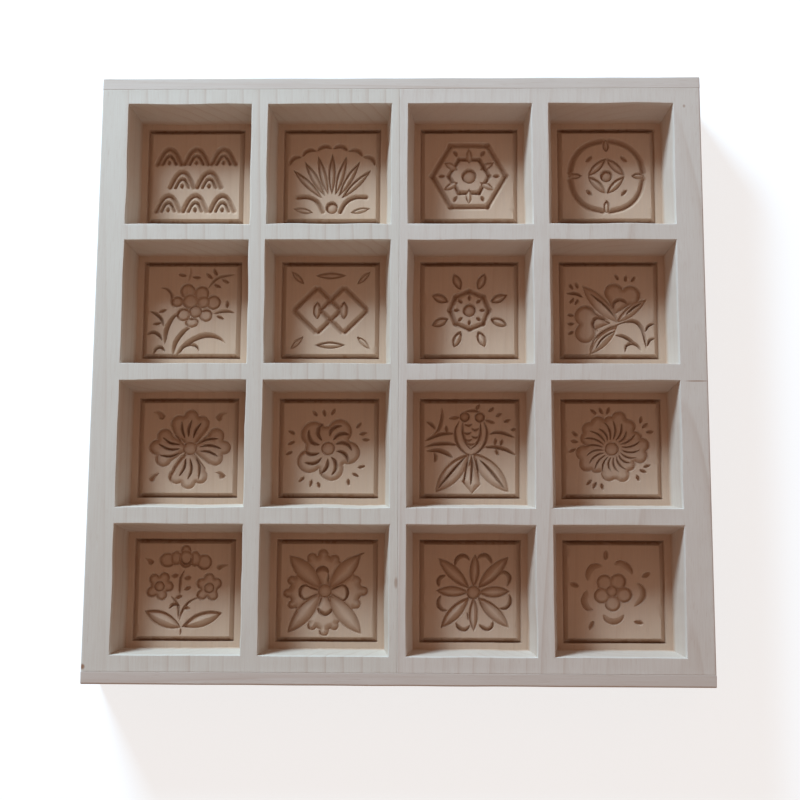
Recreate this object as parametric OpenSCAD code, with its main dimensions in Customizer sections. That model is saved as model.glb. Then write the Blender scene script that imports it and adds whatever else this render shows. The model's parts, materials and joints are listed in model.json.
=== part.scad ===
// Wooden mooncake mould: a board of square cavities with carved floors.
// Two planks are joined edge to edge on dowels, and a strip is pinned over the end grain at each end.
// X runs across the planks, Y along the grain towards the head end and Z up.
// The origin is the middle of the underside. Lengths are in millimetres.

/* [Cavities] */
// Side of a cavity's square mouth, at the top face
mouth = 62.2; // [50:0.1:75]
// Depth of a cavity, from the top face to its floor
depth = 21.2; // [12:0.1:28]
// Lean of a cavity's walls from the upright, in degrees
draft = 8.3; // [0:0.1:12]
// Width of the flat ledge at the foot of the walls
ledge_w = 2.9; // [1:0.1:5]
// Width of the V groove that frames the carved floor
groove_w = 2.6; // [1:0.1:4]
// Depth of the V groove below the floor
groove_d = 1.4; // [0.6:0.1:2.5]
// Rows of cavities, from the head end to the foot end
rows = 4; // [1:1:4]
// Columns of cavities in one plank
columns = 2; // [1:1:2]

/* [Board] */
// Width of wood between neighbouring cavities, at the top face
wall = 8.1; // [5:0.1:16]
// Width of wood between the outer cavities and the long sides
side_margin = 13.45; // [6:0.05:30]
// Width of wood between the end cavities and the end of a plank
end_margin = 7.7; // [4:0.1:30]
// Thickness of wood below the cavity floors
floor_t = 14.8; // [12:0.1:30]
// Width of an end strip, along the grain of the planks
strip_w = 6; // [4:0.1:20]
// Chamfer on the outer edges of planks and strips
edge_chamfer = 0.7; // [0.2:0.1:1.5]

/* [Carving] */
// Depth of the dished gouge cuts
scoop_d = 1.7; // [0.6:0.1:2.5]
// Depth of the straight-walled cuts
cut_d = 1.5; // [0.6:0.1:2.5]
// Width of a cut that outlines a figure
line_w = 2.2; // [1:0.1:3.5]

/* [Seam dowels] */
// Dowels across the seam between the planks
seam_dowels = 4; // [2:1:6]
// Diameter of a seam dowel
dowel_d = 6; // [4:0.1:7]
// Length of a seam dowel
dowel_l = 44; // [20:1:80]

/* [Strip pins] */
// Pins that hold one end strip to one plank
pins_per_plank = 3; // [2:1:5]
// Diameter of a strip pin
pin_d = 3; // [2:0.1:5]
// Length of a strip pin
pin_l = 26; // [22:0.5:40]
// Length of the taper at a pin's tip
pin_tip = 2; // [0.5:0.1:4]

/* [Fits] */
// Space round a pin or a dowel in its bore
bore_gap = 0.05; // [0.02:0.01:0.2]
// Space past the end of a pin or a dowel in its bore
bore_end_gap = 0.5; // [0.2:0.1:2]

/* [Hidden] */
$fn = 64;
board_t = floor_t + depth;
pitch = mouth + wall;
plank_w = columns * pitch - wall / 2 + side_margin;
plank_l = rows * pitch - wall + 2 * end_margin;
// Side of a cavity at the foot of its walls, and of the carved floor inside the groove
foot = mouth - 2 * depth * tan(draft);
floor_w = foot - 2 * (ledge_w + groove_w);
// Figures are drawn in field units: a floor reaches from -1 to 1 both ways
field = floor_w / 2;
// Height of the dowels and pins, midway between the underside and the deepest carving
bore_z = (floor_t - max(scoop_d, cut_d, groove_d)) / 2;
// How far a cut reaches out of the wood, so that it leaves a clean edge
over = 0.6;

DOWEL_NODES = [for (i = [1 : seam_dowels]) str("seam_dowel_", i)];
HEAD_PIN_NODES = [for (i = [1 : 2 * pins_per_plank]) str("head_strip_pin_", i)];
FOOT_PIN_NODES = [for (i = [1 : 2 * pins_per_plank]) str("foot_strip_pin_", i)];

function column_x(column) = (column - columns + 0.5) * pitch;
function row_y(row) = ((rows - 1) / 2 - row) * pitch;
function dowel_y(i) = (i - (seam_dowels + 1) / 2) * plank_l / seam_dowels;
function pin_x(i) = (i - pins_per_plank - 0.5) * plank_w / pins_per_plank;
function polar(r, angle) = r * [cos(angle), sin(angle)];

// Four corners of a level square, and the four quads between two such rings of points
function square_ring(side, level) =
  [for (c = [[-1, -1], [1, -1], [1, 1], [-1, 1]]) [c.x * side / 2, c.y * side / 2, level]];
function ring_quads(a, b) = [for (i = [0 : 3]) [a + i, b + i, b + (i + 1) % 4, a + (i + 1) % 4]];

// Cavity with drafted walls, from its floor to just past the top face
module cavity() {
  lip = mouth + 2 * over * tan(draft);
  polyhedron(
    points = concat(square_ring(foot, 0), square_ring(lip, depth + over)),
    faces = concat([[0, 1, 2, 3], [7, 6, 5, 4]], ring_quads(0, 4))
  );
}

// V groove round the floor: the space between an inward and an outward slope
module frame_groove() {
  deep = floor_w + groove_w;
  reach = groove_w / groove_d * (groove_d + over);
  polyhedron(
    points = concat(
      square_ring(deep, -groove_d), square_ring(deep + reach, over), square_ring(deep - reach, over)
    ),
    faces = concat(ring_quads(0, 4), ring_quads(4, 8), ring_quads(8, 0))
  );
}

// Round dished cut
module scoop(at, r) {
  rim = r * field;
  ball = (rim * rim + scoop_d * scoop_d) / (2 * scoop_d);
  translate([at.x * field, at.y * field, 0])
    intersection() {
      translate([0, 0, ball - scoop_d]) sphere(ball);
      translate([0, 0, -scoop_d - over]) cylinder(h = scoop_d + 2 * over, r = rim + 2 * over);
    }
}

// Leaf-shaped cut with two pointed ends: where two round cuts overlap
module leaf(from, to, width) {
  run = norm(to - from) * field;
  broad = width * field;
  radius = (run * run + broad * broad) / (4 * broad);
  middle = (from + to) / 2 * field;
  translate([middle.x, middle.y, -cut_d])
    rotate(atan2(to.y - from.y, to.x - from.x))
      linear_extrude(cut_d + over)
        intersection() {
          translate([0, radius - broad / 2]) circle(radius);
          translate([0, broad / 2 - radius]) circle(radius);
        }
}

// Cut along an arc that bows to the left of its chord by a rise
module bow(from, to, rise) {
  chord = norm(to - from) * field;
  sag = abs(rise) * field;
  radius = (chord * chord / 4 + sag * sag) / (2 * sag);
  along = (to - from) / norm(to - from);
  left = [-along.y, along.x] * sign(rise);
  centre = (from + to) / 2 * field + left * (sag - radius);
  half = 2 * atan2(2 * sag, chord);
  translate([centre.x, centre.y, 0])
    rotate_extrude(angle = 2 * half, start = atan2(left.y, left.x) - half)
      translate([radius - line_w / 2, -cut_d]) square([line_w, cut_d + over]);
}

// Straight cut with square ends
module bar(from, to) {
  translate([from.x * field, from.y * field, -cut_d])
    rotate(atan2(to.y - from.y, to.x - from.x))
      translate([0, -line_w / 2, 0]) cube([norm(to - from) * field, line_w, cut_d + over]);
}

// Copies of the children turned about the floor's middle
module ring_of(count, turn = 0) {
  for (i = [0 : count - 1]) rotate(turn + i * 360 / count) children();
}

// Rows of wave scales: two arcs over each other, every other row set off by half
module wave_scales() {
  for (tier = [0 : 2])
    for (i = [-1 : tier % 2 == 0 ? 1 : 0]) {
      at = [(i + (tier % 2) / 2) * 0.62, 0.5 - tier * 0.56];
      bow(at + [0.27, -0.2], at + [-0.27, -0.2], -0.27);
      leaf(at + [-0.1, -0.16], at + [0.1, -0.16], 0.12);
    }
}

// Ribbed fan: ribs that open from a root, under an edge of scallops
module ribbed_fan() {
  root = [0, -0.74];
  spread = 15;
  for (rib = [-3 : 3])
    leaf(root + polar(0.32, 90 + rib * spread), root + polar(1.26, 90 + rib * spread), 0.17);
  for (scallop = [-2.5 : 2.5])
    bow(root + polar(1.4, 96 + scallop * spread), root + polar(1.4, 84 + scallop * spread), 0.08);
  for (side = [-1, 1]) {
    bow([side * 0.2, -0.86], [side * 0.78, -0.5], side * 0.16);
    leaf([side * 0.44, -0.86], [side * 0.86, -0.78], 0.13);
  }
  scoop(root, 0.12);
}

// Tortoiseshell: a six-sided outline with spokes and a boss in its middle
module tortoiseshell() {
  scoop([0, 0], 0.17);
  ring_of(6, 30) {
    bar(polar(0.82, -25), polar(0.82, 25));
    leaf([0.3, 0], [0.62, 0], 0.15);
    bar(polar(0.44, 36), polar(0.44, 84));
  }
}

// Four coins overlapping a fifth: petals round a hollow-sided square
module coin_ring() {
  ring_of(4, 45) {
    leaf([0.3, 0.3], [0.3, -0.3], 0.22);
    bow(polar(0.86, -36), polar(0.86, 36), -0.18);
  }
  scoop([0, 0], 0.13);
  ring_of(4) leaf([0.56, 0], [0.82, 0], 0.14);
}

// Two lozenges linked corner through corner
module linked_lozenges() {
  for (side = [-1, 1])
    translate([side * 0.3 * field, 0, 0]) {
      ring_of(4) bar(polar(0.5, 8), polar(0.5, 82));
      leaf([0, -0.22], [0, 0.22], 0.2);
    }
  for (side = [-1, 1]) {
    leaf([-0.34, side * 0.8], [0.34, side * 0.8], 0.16);
    leaf([side * 0.62, side * 0.62], [side * 0.88, side * 0.88], 0.13);
    leaf([side * 0.62, -side * 0.62], [side * 0.88, -side * 0.88], 0.13);
  }
}

// Eight-pointed lattice star round a boss
module lattice_star() {
  scoop([0, 0], 0.15);
  ring_of(8, 22.5) {
    bar(polar(0.44, -18), polar(0.44, 18));
    leaf([0.52, 0], [0.88, 0], 0.2);
  }
}

// Spray of small round flowers on bending stems
module flower_spray() {
  petals = [
    [0.06, 0, 0.13], [-0.06, 0.25, 0.12], [0.22, 0.22, 0.11], [0.49, 0.21, 0.12], [-0.11, 0.5, 0.12],
    [0.22, 0.48, 0.12], [-0.33, 0.22, 0.11], [-0.22, -0.05, 0.12], [0.31, -0.09, 0.12], [0, -0.26, 0.11]
  ];
  for (p = petals) scoop([p.x, p.y], p.z);
  bow([-0.05, 0.96], [-0.07, 0.66], 0.03);
  leaf([-0.3, 0.88], [-0.14, 0.72], 0.12);
  leaf([0.16, 0.84], [0.02, 0.68], 0.12);
  bow([0.4, 0.52], [0.9, 0.82], -0.05);
  leaf([0.3, 0.86], [0.46, 0.66], 0.12);
  leaf([0.62, 0.5], [0.86, 0.6], 0.12);
  bow([-0.74, 0.54], [-0.44, 0.3], 0.06);
  bow([0.48, -0.06], [0.92, -0.04], 0.06);
  leaf([0.78, 0.26], [0.78, 0.08], 0.1);
  leaf([0.56, -0.2], [0.76, -0.14], 0.11);
  bow([-0.37, -0.1], [-0.5, -0.92], -0.16);
  bow([-0.1, -0.4], [-0.38, -0.92], -0.1);
  bow([-0.26, -0.9], [0.72, -0.72], 0.27);
  bow([-0.1, -0.84], [0.18, -0.9], 0.09);
  bow([-0.9, 0], [-0.62, -0.36], 0.07);
  leaf([-0.72, 0.04], [-0.54, -0.04], 0.1);
  bow([-0.92, -0.52], [-0.66, -0.66], 0.08);
  bow([-0.84, -0.92], [-0.6, -0.86], 0.08);
}

// Three leaves and two lobed petals that open from one point
module leaf_fan() {
  root = [0.13, -0.3];
  scoop(root, 0.12);
  leaf([-0.02, -0.12], [-0.63, 0.58], 0.3);
  leaf([0.26, -0.14], [0.82, 0.28], 0.28);
  leaf([0.02, -0.44], [-0.47, -0.94], 0.28);
  bow([0.35, 0.57], [-0.14, 0.39], -0.15);
  bow([0.73, 0.36], [0.35, 0.57], -0.1);
  bow([0.34, 0.12], [0.08, 0.14], -0.14);
  bow([-0.54, 0.13], [-0.79, -0.33], -0.1);
  bow([-0.79, -0.33], [-0.57, -0.78], -0.08);
  bow([-0.22, -0.16], [-0.22, -0.46], -0.15);
  bow([0.26, -0.34], [0.78, -0.86], 0.2);
  bow([0.14, -0.6], [0.64, -0.9], 0.08);
  bow([0.8, -0.5], [0.96, -0.3], 0.05);
  bow([0.3, -0.92], [0.5, -0.8], 0.05);
  for (x = [0.14, 0.34, 0.52]) leaf([x, 0.78], [x + 0.03, 0.92], 0.08);
  for (y = [-0.1, -0.32, -0.54]) leaf([-0.89, y], [-0.98, y], 0.07);
}

// Flower of broad lobed petals, each with veins that run out from the eye
module lobed_flower(petals, turn, reach) {
  step = 360 / petals;
  scoop([0, 0], 0.15);
  ring_of(petals, turn) {
    for (vein = [-1 : 1]) leaf(polar(0.22, vein * step / 4), polar(reach - 0.16, vein * step / 4), 0.14);
    for (lobe = [-1 : 1])
      bow(polar(reach, (lobe + 0.42) * step / 3.4), polar(reach, (lobe - 0.42) * step / 3.4), 0.06);
  }
}

// Small cuts between the petals, in threes
module petal_dashes(petals, turn, reach) {
  ring_of(petals, turn)
    for (dash = [-1 : 1]) leaf(polar(reach - 0.05, dash * 13), polar(reach + 0.08, dash * 13), 0.08);
}

module four_petal_flower() {
  lobed_flower(4, 0, 0.74);
  ring_of(4, 45) leaf([0.72, 0], [1.08, 0], 0.18);
}

module pinwheel_flower() {
  scoop([0, 0], 0.15);
  ring_of(5, 54) {
    bow(polar(0.52, 29), polar(0.52, -29), 0.25);
    bow(polar(0.25, -14), polar(0.52, -12), 0.06);
    bow(polar(0.25, 22), polar(0.52, 14), 0.06);
  }
  petal_dashes(5, 90, 0.84);
}

module five_petal_flower() {
  lobed_flower(5, 72, 0.66);
  petal_dashes(5, 36, 0.84);
}

// Goldfish seen from above, with a long divided tail
module goldfish() {
  for (side = [-1, 1]) {
    scoop([side * 0.17, 0.7], 0.1);
    bow([side * 0.14, 0], [side * 0.2, 0.54], -side * 0.14);
    leaf([side * 0.28, 0.68], [side * 0.5, 0.66], 0.12);
    bow([side * 0.4, 0.33], [side * 0.92, 0.16], side * 0.08);
    bow([side * 0.36, 0.08], [side * 0.94, -0.04], side * 0.08);
    leaf([side * 0.14, -0.12], [side * 0.74, -0.92], 0.3);
    bow([side * 0.22, -0.1], [side * 0.86, -0.7], side * 0.18);
  }
  for (scale = [0 : 4])
    leaf([scale % 2 * 0.12 - 0.13, 0.5 - scale * 0.11], [scale % 2 * 0.12 + 0.01, 0.5 - scale * 0.11], 0.07);
  for (rib = [-0.18, 0, 0.18]) leaf([rib * 0.5, -0.2], [rib, -0.86], 0.12);
  for (i = [0 : 3]) leaf([0.44 + i * 0.15, 0.88 - i * 0.13], [0.5 + i * 0.15, 0.8 - i * 0.13], 0.08);
  bow([-0.62, 0.88], [-0.82, 0.34], 0.06);
}

// Lotus over two round flowers and a pair of long leaves
module bouquet() {
  scoop([0, 0.66], 0.17);
  for (side = [-1, 1]) {
    leaf([side * 0.14, 0.46], [side * 0.3, 0.84], 0.17);
    scoop([side * 0.44, 0.64], 0.14);
    translate([side * 0.54 * field, 0.08 * field, 0]) {
      scoop([0, 0], 0.09);
      ring_of(5, 90) scoop([0.21, 0], 0.1);
    }
    leaf([side * 0.06, -0.76], [side * 0.82, -0.42], 0.27);
    leaf([side * 0.1, -0.36], [side * 0.32, -0.14], 0.1);
    leaf([side * 0.76, 0.5], [side * 0.84, 0.68], 0.1);
  }
  leaf([0, 0.42], [0, -0.2], 0.12);
  leaf([0, -0.3], [0, -0.64], 0.1);
  leaf([0, -0.8], [0, -0.96], 0.08);
}

// Four broad leaves on the diagonals, with fan petals between them
module leaf_cross() {
  scoop([0, 0], 0.15);
  ring_of(4, 45) leaf([0.24, 0], [1.12, 0], 0.3);
  ring_of(4) {
    bow([0.4, 0.13], [0.4, -0.13], 0.1);
    for (lobe = [-1 : 1])
      bow(polar(0.8, lobe * 18 + 8), polar(0.8, lobe * 18 - 8), 0.06);
    leaf([0.54, 0], [0.7, 0], 0.1);
  }
}

// Eight pointed petals with an arc between each pair
module eight_petal_star() {
  scoop([0, 0], 0.15);
  ring_of(4) leaf([0.22, 0], [0.8, 0], 0.24);
  ring_of(4, 45) leaf([0.22, 0], [1.04, 0], 0.26);
  ring_of(4)
    for (side = [-1, 1]) rotate(side * 20.5) bow([0.69, 0.105], [0.69, -0.105], 0.11);
}

// Plum blossom: round petals, then a ring of arcs and drops
module plum_blossom() {
  scoop([0, 0], 0.12);
  ring_of(5, 54) {
    scoop([0.3, 0], 0.14);
    bow([0.5, -0.24], [0.5, 0.24], -0.14);
  }
  ring_of(5, 90) leaf([0.66, 0], [0.88, 0], 0.14);
}

// The figure of one cavity, counted from the head end and from the left
module figure(row, column) {
  place = 4 * row + column;
  if (place == 0) wave_scales();
  if (place == 1) ribbed_fan();
  if (place == 2) tortoiseshell();
  if (place == 3) coin_ring();
  if (place == 4) flower_spray();
  if (place == 5) linked_lozenges();
  if (place == 6) lattice_star();
  if (place == 7) leaf_fan();
  if (place == 8) four_petal_flower();
  if (place == 9) pinwheel_flower();
  if (place == 10) goldfish();
  if (place == 11) five_petal_flower();
  if (place == 12) bouquet();
  if (place == 13) leaf_cross();
  if (place == 14) eight_petal_star();
  if (place == 15) plum_blossom();
}

// Outline of a bar of wood with chamfers on the two corners that face away from the rest
module chamfered_outline(width) {
  polygon([
    [0, 0], [width - edge_chamfer, 0], [width, edge_chamfer],
    [width, board_t - edge_chamfer], [width - edge_chamfer, board_t], [0, board_t]
  ]);
}

// Bore for a dowel or a pin that starts at the origin and runs along Z
module bore(d, length) {
  translate([0, 0, -over]) cylinder(h = length + bore_end_gap + over, d = d + 2 * bore_gap);
}

// Bores for the seam dowels, as they reach into one plank
module dowel_bores(side) {
  for (i = [1 : seam_dowels])
    translate([0, dowel_y(i), bore_z]) rotate([0, side * 90, 0]) bore(dowel_d, dowel_l / 2);
}

// Bores for the pins of both strips, as they start at the strips' outer faces
module pin_bores(side) {
  for (i = [1 : pins_per_plank])
    for (end = [-1, 1])
      translate([side * pin_x(pins_per_plank + i), end * (plank_l / 2 + strip_w), bore_z])
        rotate([end * 90, 0, 0]) bore(pin_d, pin_l);
}

// One plank with its cavities: side -1 is the left one, 1 the right one
module plank(side) {
  first = side < 0 ? 0 : columns;
  difference() {
    mirror([side < 0 ? 1 : 0, 0, 0])
      rotate([90, 0, 0]) linear_extrude(plank_l, center = true) chamfered_outline(plank_w);
    for (row = [0 : rows - 1])
      for (column = [first : first + columns - 1])
        translate([column_x(column), row_y(row), floor_t]) {
          cavity();
          frame_groove();
          figure(row, column);
        }
    dowel_bores(side);
    pin_bores(side);
  }
}

module left_plank() {
  color("burlywood") plank(-1);
}

module right_plank() {
  color("wheat") plank(1);
}

// End strip over the end grain: end 1 is the head end, -1 the foot end
module end_strip(end) {
  color("tan")
    difference() {
      mirror([0, end < 0 ? 1 : 0, 0])
        translate([-plank_w, plank_l / 2, 0])
          rotate([90, 0, 90]) linear_extrude(2 * plank_w) chamfered_outline(strip_w);
      pin_bores(-1);
      pin_bores(1);
    }
}

// Turned peg along Z from the origin, with a taper at its far end
module peg(d, length, taper, shrink) {
  rotate_extrude()
    polygon([[0, 0], [d / 2, 0], [d / 2, length - taper], [d / 2 - shrink, length], [0, length]]);
}

module seam_dowel(i) {
  color("peru")
    for (side = [-1, 1])
      translate([0, dowel_y(i), bore_z])
        rotate([0, side * 90, 0]) peg(dowel_d, dowel_l / 2, edge_chamfer, edge_chamfer);
}

module strip_pin(i, end) {
  color("khaki")
    translate([pin_x(i), end * (plank_l / 2 + strip_w), bore_z])
      rotate([end * 90, 0, 0]) peg(pin_d, pin_l, pin_tip, pin_d / 4);
}

left_plank();
right_plank();
end_strip(1);  // head_end_strip
end_strip(-1);  // foot_end_strip
for (i = [1 : seam_dowels])
  seam_dowel(i);
for (i = [1 : 2 * pins_per_plank]) {
  strip_pin(i, 1);
  strip_pin(i, -1);
}
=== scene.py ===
"""Looks of a wooden mooncake mould: two carved planks, a strip over each end, dowels and pins.

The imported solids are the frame. The planks and the strips are rebuilt here with hand-cut cavities,
carved floors and worn edges. The dowels and pins keep their solids and get their finish.
Lengths of the carving are in millimetres, and every finished mesh is in metres.
Figures are drawn in field units: a carved floor reaches from -1 to 1, both to the right and up.
"""

import json
import logging
import math
from dataclasses import dataclass
from enum import Enum
from typing import Iterable, Protocol, Sequence

import bmesh
import bpy
import numpy as np
from mathutils import Matrix, Vector

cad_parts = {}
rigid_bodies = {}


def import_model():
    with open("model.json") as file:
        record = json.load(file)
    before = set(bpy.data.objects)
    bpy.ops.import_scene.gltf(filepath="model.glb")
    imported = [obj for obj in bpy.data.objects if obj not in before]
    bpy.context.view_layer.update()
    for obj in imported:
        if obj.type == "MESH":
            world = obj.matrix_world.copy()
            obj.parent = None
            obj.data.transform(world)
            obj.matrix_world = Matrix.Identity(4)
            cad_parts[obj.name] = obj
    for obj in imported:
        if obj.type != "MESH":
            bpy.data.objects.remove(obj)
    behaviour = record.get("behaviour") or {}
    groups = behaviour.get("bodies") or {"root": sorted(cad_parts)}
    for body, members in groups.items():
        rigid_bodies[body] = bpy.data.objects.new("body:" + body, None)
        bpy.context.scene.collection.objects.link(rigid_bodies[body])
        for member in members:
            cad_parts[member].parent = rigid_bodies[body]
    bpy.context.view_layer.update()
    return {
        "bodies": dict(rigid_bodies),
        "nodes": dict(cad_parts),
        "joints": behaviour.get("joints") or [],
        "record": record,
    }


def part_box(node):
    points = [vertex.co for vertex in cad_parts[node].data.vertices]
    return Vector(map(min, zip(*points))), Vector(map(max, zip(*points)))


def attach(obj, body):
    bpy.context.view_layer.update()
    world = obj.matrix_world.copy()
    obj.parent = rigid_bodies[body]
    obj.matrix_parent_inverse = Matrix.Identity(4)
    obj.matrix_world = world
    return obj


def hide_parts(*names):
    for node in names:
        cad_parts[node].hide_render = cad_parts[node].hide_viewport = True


LOG = logging.getLogger("mooncake_mould")
MM = 0.001
Point = tuple[float, float]
Spot = tuple[float, float, float]
Colour = tuple[float, float, float, float]


# Carving tools

# Shares of a line's length at which short lines and arcs have their points
LINE_SHARES = (0.0, 0.25, 0.5, 0.75, 1.0)
# How full a stroke stays towards its ends, in its outline and in its depth
POINT_FULLNESS = 0.62
TAIL_FULLNESS = 0.85
DEPTH_FULLNESS = 0.7
# Share of a tailed stroke that its round head takes, and how broad its tail starts
HEAD_SHARE = 0.16
TAIL_START = 1.12
# How hollow the slope to an upright wall is, and the slope inside a sunk form
WALL_HOLLOW = 0.8
RISE_HOLLOW = 1.25
# How deep a cut may start where another was made before, where 1 is the figures' usual depth
LOW_START = 0.5
# Points along an oval and along a straight side, to measure distances from an outline
OVAL_POINTS = 96
SIDE_POINTS = 40
# Portions in which those points are taken, and the zone along an outline where they are too coarse
OUTLINE_PORTIONS = 12
OUTLINE_ZONE = 0.03
# How far inside another shape an outline's point counts as covered
COVERED = 1e-4
# Depths of a dent and of a petal's outline and middle, where 1 is the figures' usual depth
DENT_DEPTH = 1.3
PETAL_DEPTH = 1.6
PETAL_CROWN = 0.65


class Gouge(Enum):
    """Cross-section that a tool leaves along a stroke."""

    VEE = "slopes on both sides down to a line"
    ROUND = "round bottom"
    LEFT_WALL = "slope from the right down to an upright wall on the left"
    RIGHT_WALL = "slope from the left down to an upright wall on the right"


class Taper(Enum):
    """How a stroke's width changes from its start to its end."""

    POINTED = "pointed at both ends"
    TAILED = "broad at the start and thin at the end"
    LEVEL = "the same all along, with round ends"


def smooth_line(points: Sequence[Point], steps: int = 9) -> np.ndarray:
    """Draw a smooth line through points.

    Args:
        points: The points, in field units.
        steps: Pieces between two neighbouring points.

    Returns:
        The line's points, one row each.
    """
    given = np.array(points, float)
    if len(given) == 2:
        share = np.array(LINE_SHARES)[:, None]
        return given[0] * (1 - share) + given[1] * share
    padded = np.vstack([2 * given[0] - given[1], given, 2 * given[-1] - given[-2]])
    line = [given[0]]
    for i in range(1, len(padded) - 2):
        before, start, end, after = padded[i - 1 : i + 3]
        for t in np.arange(1, steps + 1) / steps:
            bend = (2 * before - 5 * start + 4 * end - after) * t * t
            turn = (3 * start - before - 3 * end + after) * t**3
            line.append(0.5 * (2 * start + (end - before) * t + bend + turn))
    return np.array(line)


def arc(start: Point, end: Point, rise: float) -> list[Point]:
    """Give an arc that bows to the left of its chord.

    Args:
        start: Where the arc starts.
        end: Where it ends.
        rise: How far it bows, below zero to bow to the right.

    Returns:
        Five points on the arc.
    """
    along = np.subtract(end, start)
    length = float(np.hypot(*along))
    left = np.array([-along[1], along[0]]) / length
    points = []
    for t in LINE_SHARES:
        at = np.array(start) + along * t + left * rise * 4 * t * (1 - t)
        points.append((float(at[0]), float(at[1])))
    return points


def polar(reach: float, degrees: float) -> Point:
    """Give the point at a distance and an angle from the middle."""
    angle = math.radians(degrees)
    return (reach * math.cos(angle), reach * math.sin(angle))


def spun(points: Iterable[Point], at: Point, degrees: float) -> list[Point]:
    """Turn points about the origin and move the origin.

    Args:
        points: The points.
        at: Where the origin goes.
        degrees: The turn, to the left.

    Returns:
        The moved points.
    """
    c, s = polar(1.0, degrees)
    return [(at[0] + c * u - s * v, at[1] + s * u + c * v) for u, v in points]


class FloorGrid:
    """Depths of the carving on one cavity's floor."""

    def __init__(self, offsets: np.ndarray, half: float) -> None:
        """Lay out the grid.

        Args:
            offsets: Distances of the grid's lines from the middle, in millimetres.
            half: Half the floor's side, in millimetres.
        """
        self.half = half
        self.line = offsets / half
        self.u, self.v = np.meshgrid(self.line, self.line)
        self.depth = np.zeros_like(self.u)

    def window(self, low: np.ndarray, high: np.ndarray) -> tuple[slice, slice]:
        """Find the part of the grid between two corners.

        Args:
            low: Lower left corner, in field units.
            high: Upper right corner.

        Returns:
            The rows and the columns.
        """
        first = np.searchsorted(self.line, low)
        last = np.searchsorted(self.line, high)
        return slice(first[1], last[1]), slice(first[0], last[0])

    def lower(self, place: tuple[slice, slice], depth: np.ndarray) -> None:
        """Cut down from the surface, but not much deeper where the wood is low already."""
        known = self.depth[place]
        self.depth[place] = np.maximum(known, depth + np.minimum(known, LOW_START) * (depth > 0))


class Cut(Protocol):
    """Something that a tool takes out of a floor."""

    def make(self, floor: FloorGrid) -> None:
        """Take the wood out of the floor."""


@dataclass(frozen=True)
class Stroke:
    """Stroke of a gouge along a line, in field units, with its upright wall's width in millimetres."""

    line: Sequence[Point]
    width: float
    depth: float
    gouge: Gouge = Gouge.VEE
    taper: Taper = Taper.POINTED
    wall: float = 0.4
    thinnest: float = 1e-6

    def spread(self, share: np.ndarray) -> np.ndarray:
        """Work out how broad the stroke is along its line.

        Args:
            share: Shares of its length.

        Returns:
            Its width there, where 1 is the full width.
        """
        if self.taper is Taper.POINTED:
            return np.clip(4 * share * (1 - share), 0, 1) ** POINT_FULLNESS
        if self.taper is Taper.TAILED:
            head = np.sqrt(np.clip(share / HEAD_SHARE, 0, 1))
            return head * np.clip(TAIL_START * (1 - share), 0, 1) ** TAIL_FULLNESS
        return np.ones_like(share)

    def make(self, floor: FloorGrid) -> None:
        """Take the wood out of the floor.

        Args:
            floor: The floor.
        """
        line = smooth_line(self.line)
        place = floor.window(line.min(0) - self.width, line.max(0) + self.width)
        start, run = line[:-1], np.diff(line, axis=0)
        length = np.hypot(run[:, 0], run[:, 1])
        at_u = floor.u[place][..., None] - start[:, 0]
        at_v = floor.v[place][..., None] - start[:, 1]
        along = np.clip((at_u * run[:, 0] + at_v * run[:, 1]) / length**2, 0, 1)
        off_u = at_u - along * run[:, 0]
        off_v = at_v - along * run[:, 1]
        distance = np.hypot(off_u, off_v)
        near = distance.argmin(-1)[..., None]
        side = np.sign(run[:, 0] * at_v - run[:, 1] * at_u)
        passed = (np.cumsum(length) - length + along * length) / length.sum()
        share, away, side = (
            np.take_along_axis(values, near, -1)[..., 0] for values in (passed, distance, side)
        )
        spread = self.spread(share)
        half = np.maximum(self.width / 2 * spread, self.thinnest)
        across = np.clip(away / half, 0, 1)
        if self.gouge is Gouge.VEE:
            section = 1 - across
        elif self.gouge is Gouge.ROUND:
            section = 1 - across**2
        else:
            lean = side * across * (1 if self.gouge is Gouge.LEFT_WALL else -1)
            upright = (1 - lean) * half * floor.half / self.wall
            section = ((1 + lean) / 2) ** WALL_HOLLOW * np.clip(upright, 0, 1)
        cut = self.depth * spread**DEPTH_FULLNESS * section * (away < half)
        floor.lower(place, cut)


class Shape(Protocol):
    """Outline of a sunk form."""

    def inside(self, u: np.ndarray, v: np.ndarray) -> np.ndarray:
        """Give how far points lie inside the outline, below zero outside."""

    def outline(self) -> np.ndarray:
        """Give points along the outline, one row each."""


@dataclass(frozen=True)
class Oval:
    """Round or oval outline."""

    middle: Point
    across: float
    upward: float = 0.0

    def inside(self, u: np.ndarray, v: np.ndarray) -> np.ndarray:
        """Measure how far points lie inside the outline.

        Args:
            u: Places of the points to the right.
            v: Places of the points upwards.

        Returns:
            Their distances from the outline, below zero outside.
        """
        tall = self.upward or self.across
        part = np.hypot((u - self.middle[0]) / self.across, (v - self.middle[1]) / tall)
        return (1 - part) * min(self.across, tall)

    def outline(self) -> np.ndarray:
        """Follow the outline.

        Returns:
            Points along it, one row each.
        """
        angle = np.linspace(0, 2 * math.pi, OVAL_POINTS, endpoint=False)
        size = np.array((self.across, self.upward or self.across))
        return np.array(self.middle) + np.stack([np.cos(angle), np.sin(angle)], -1) * size


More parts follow.
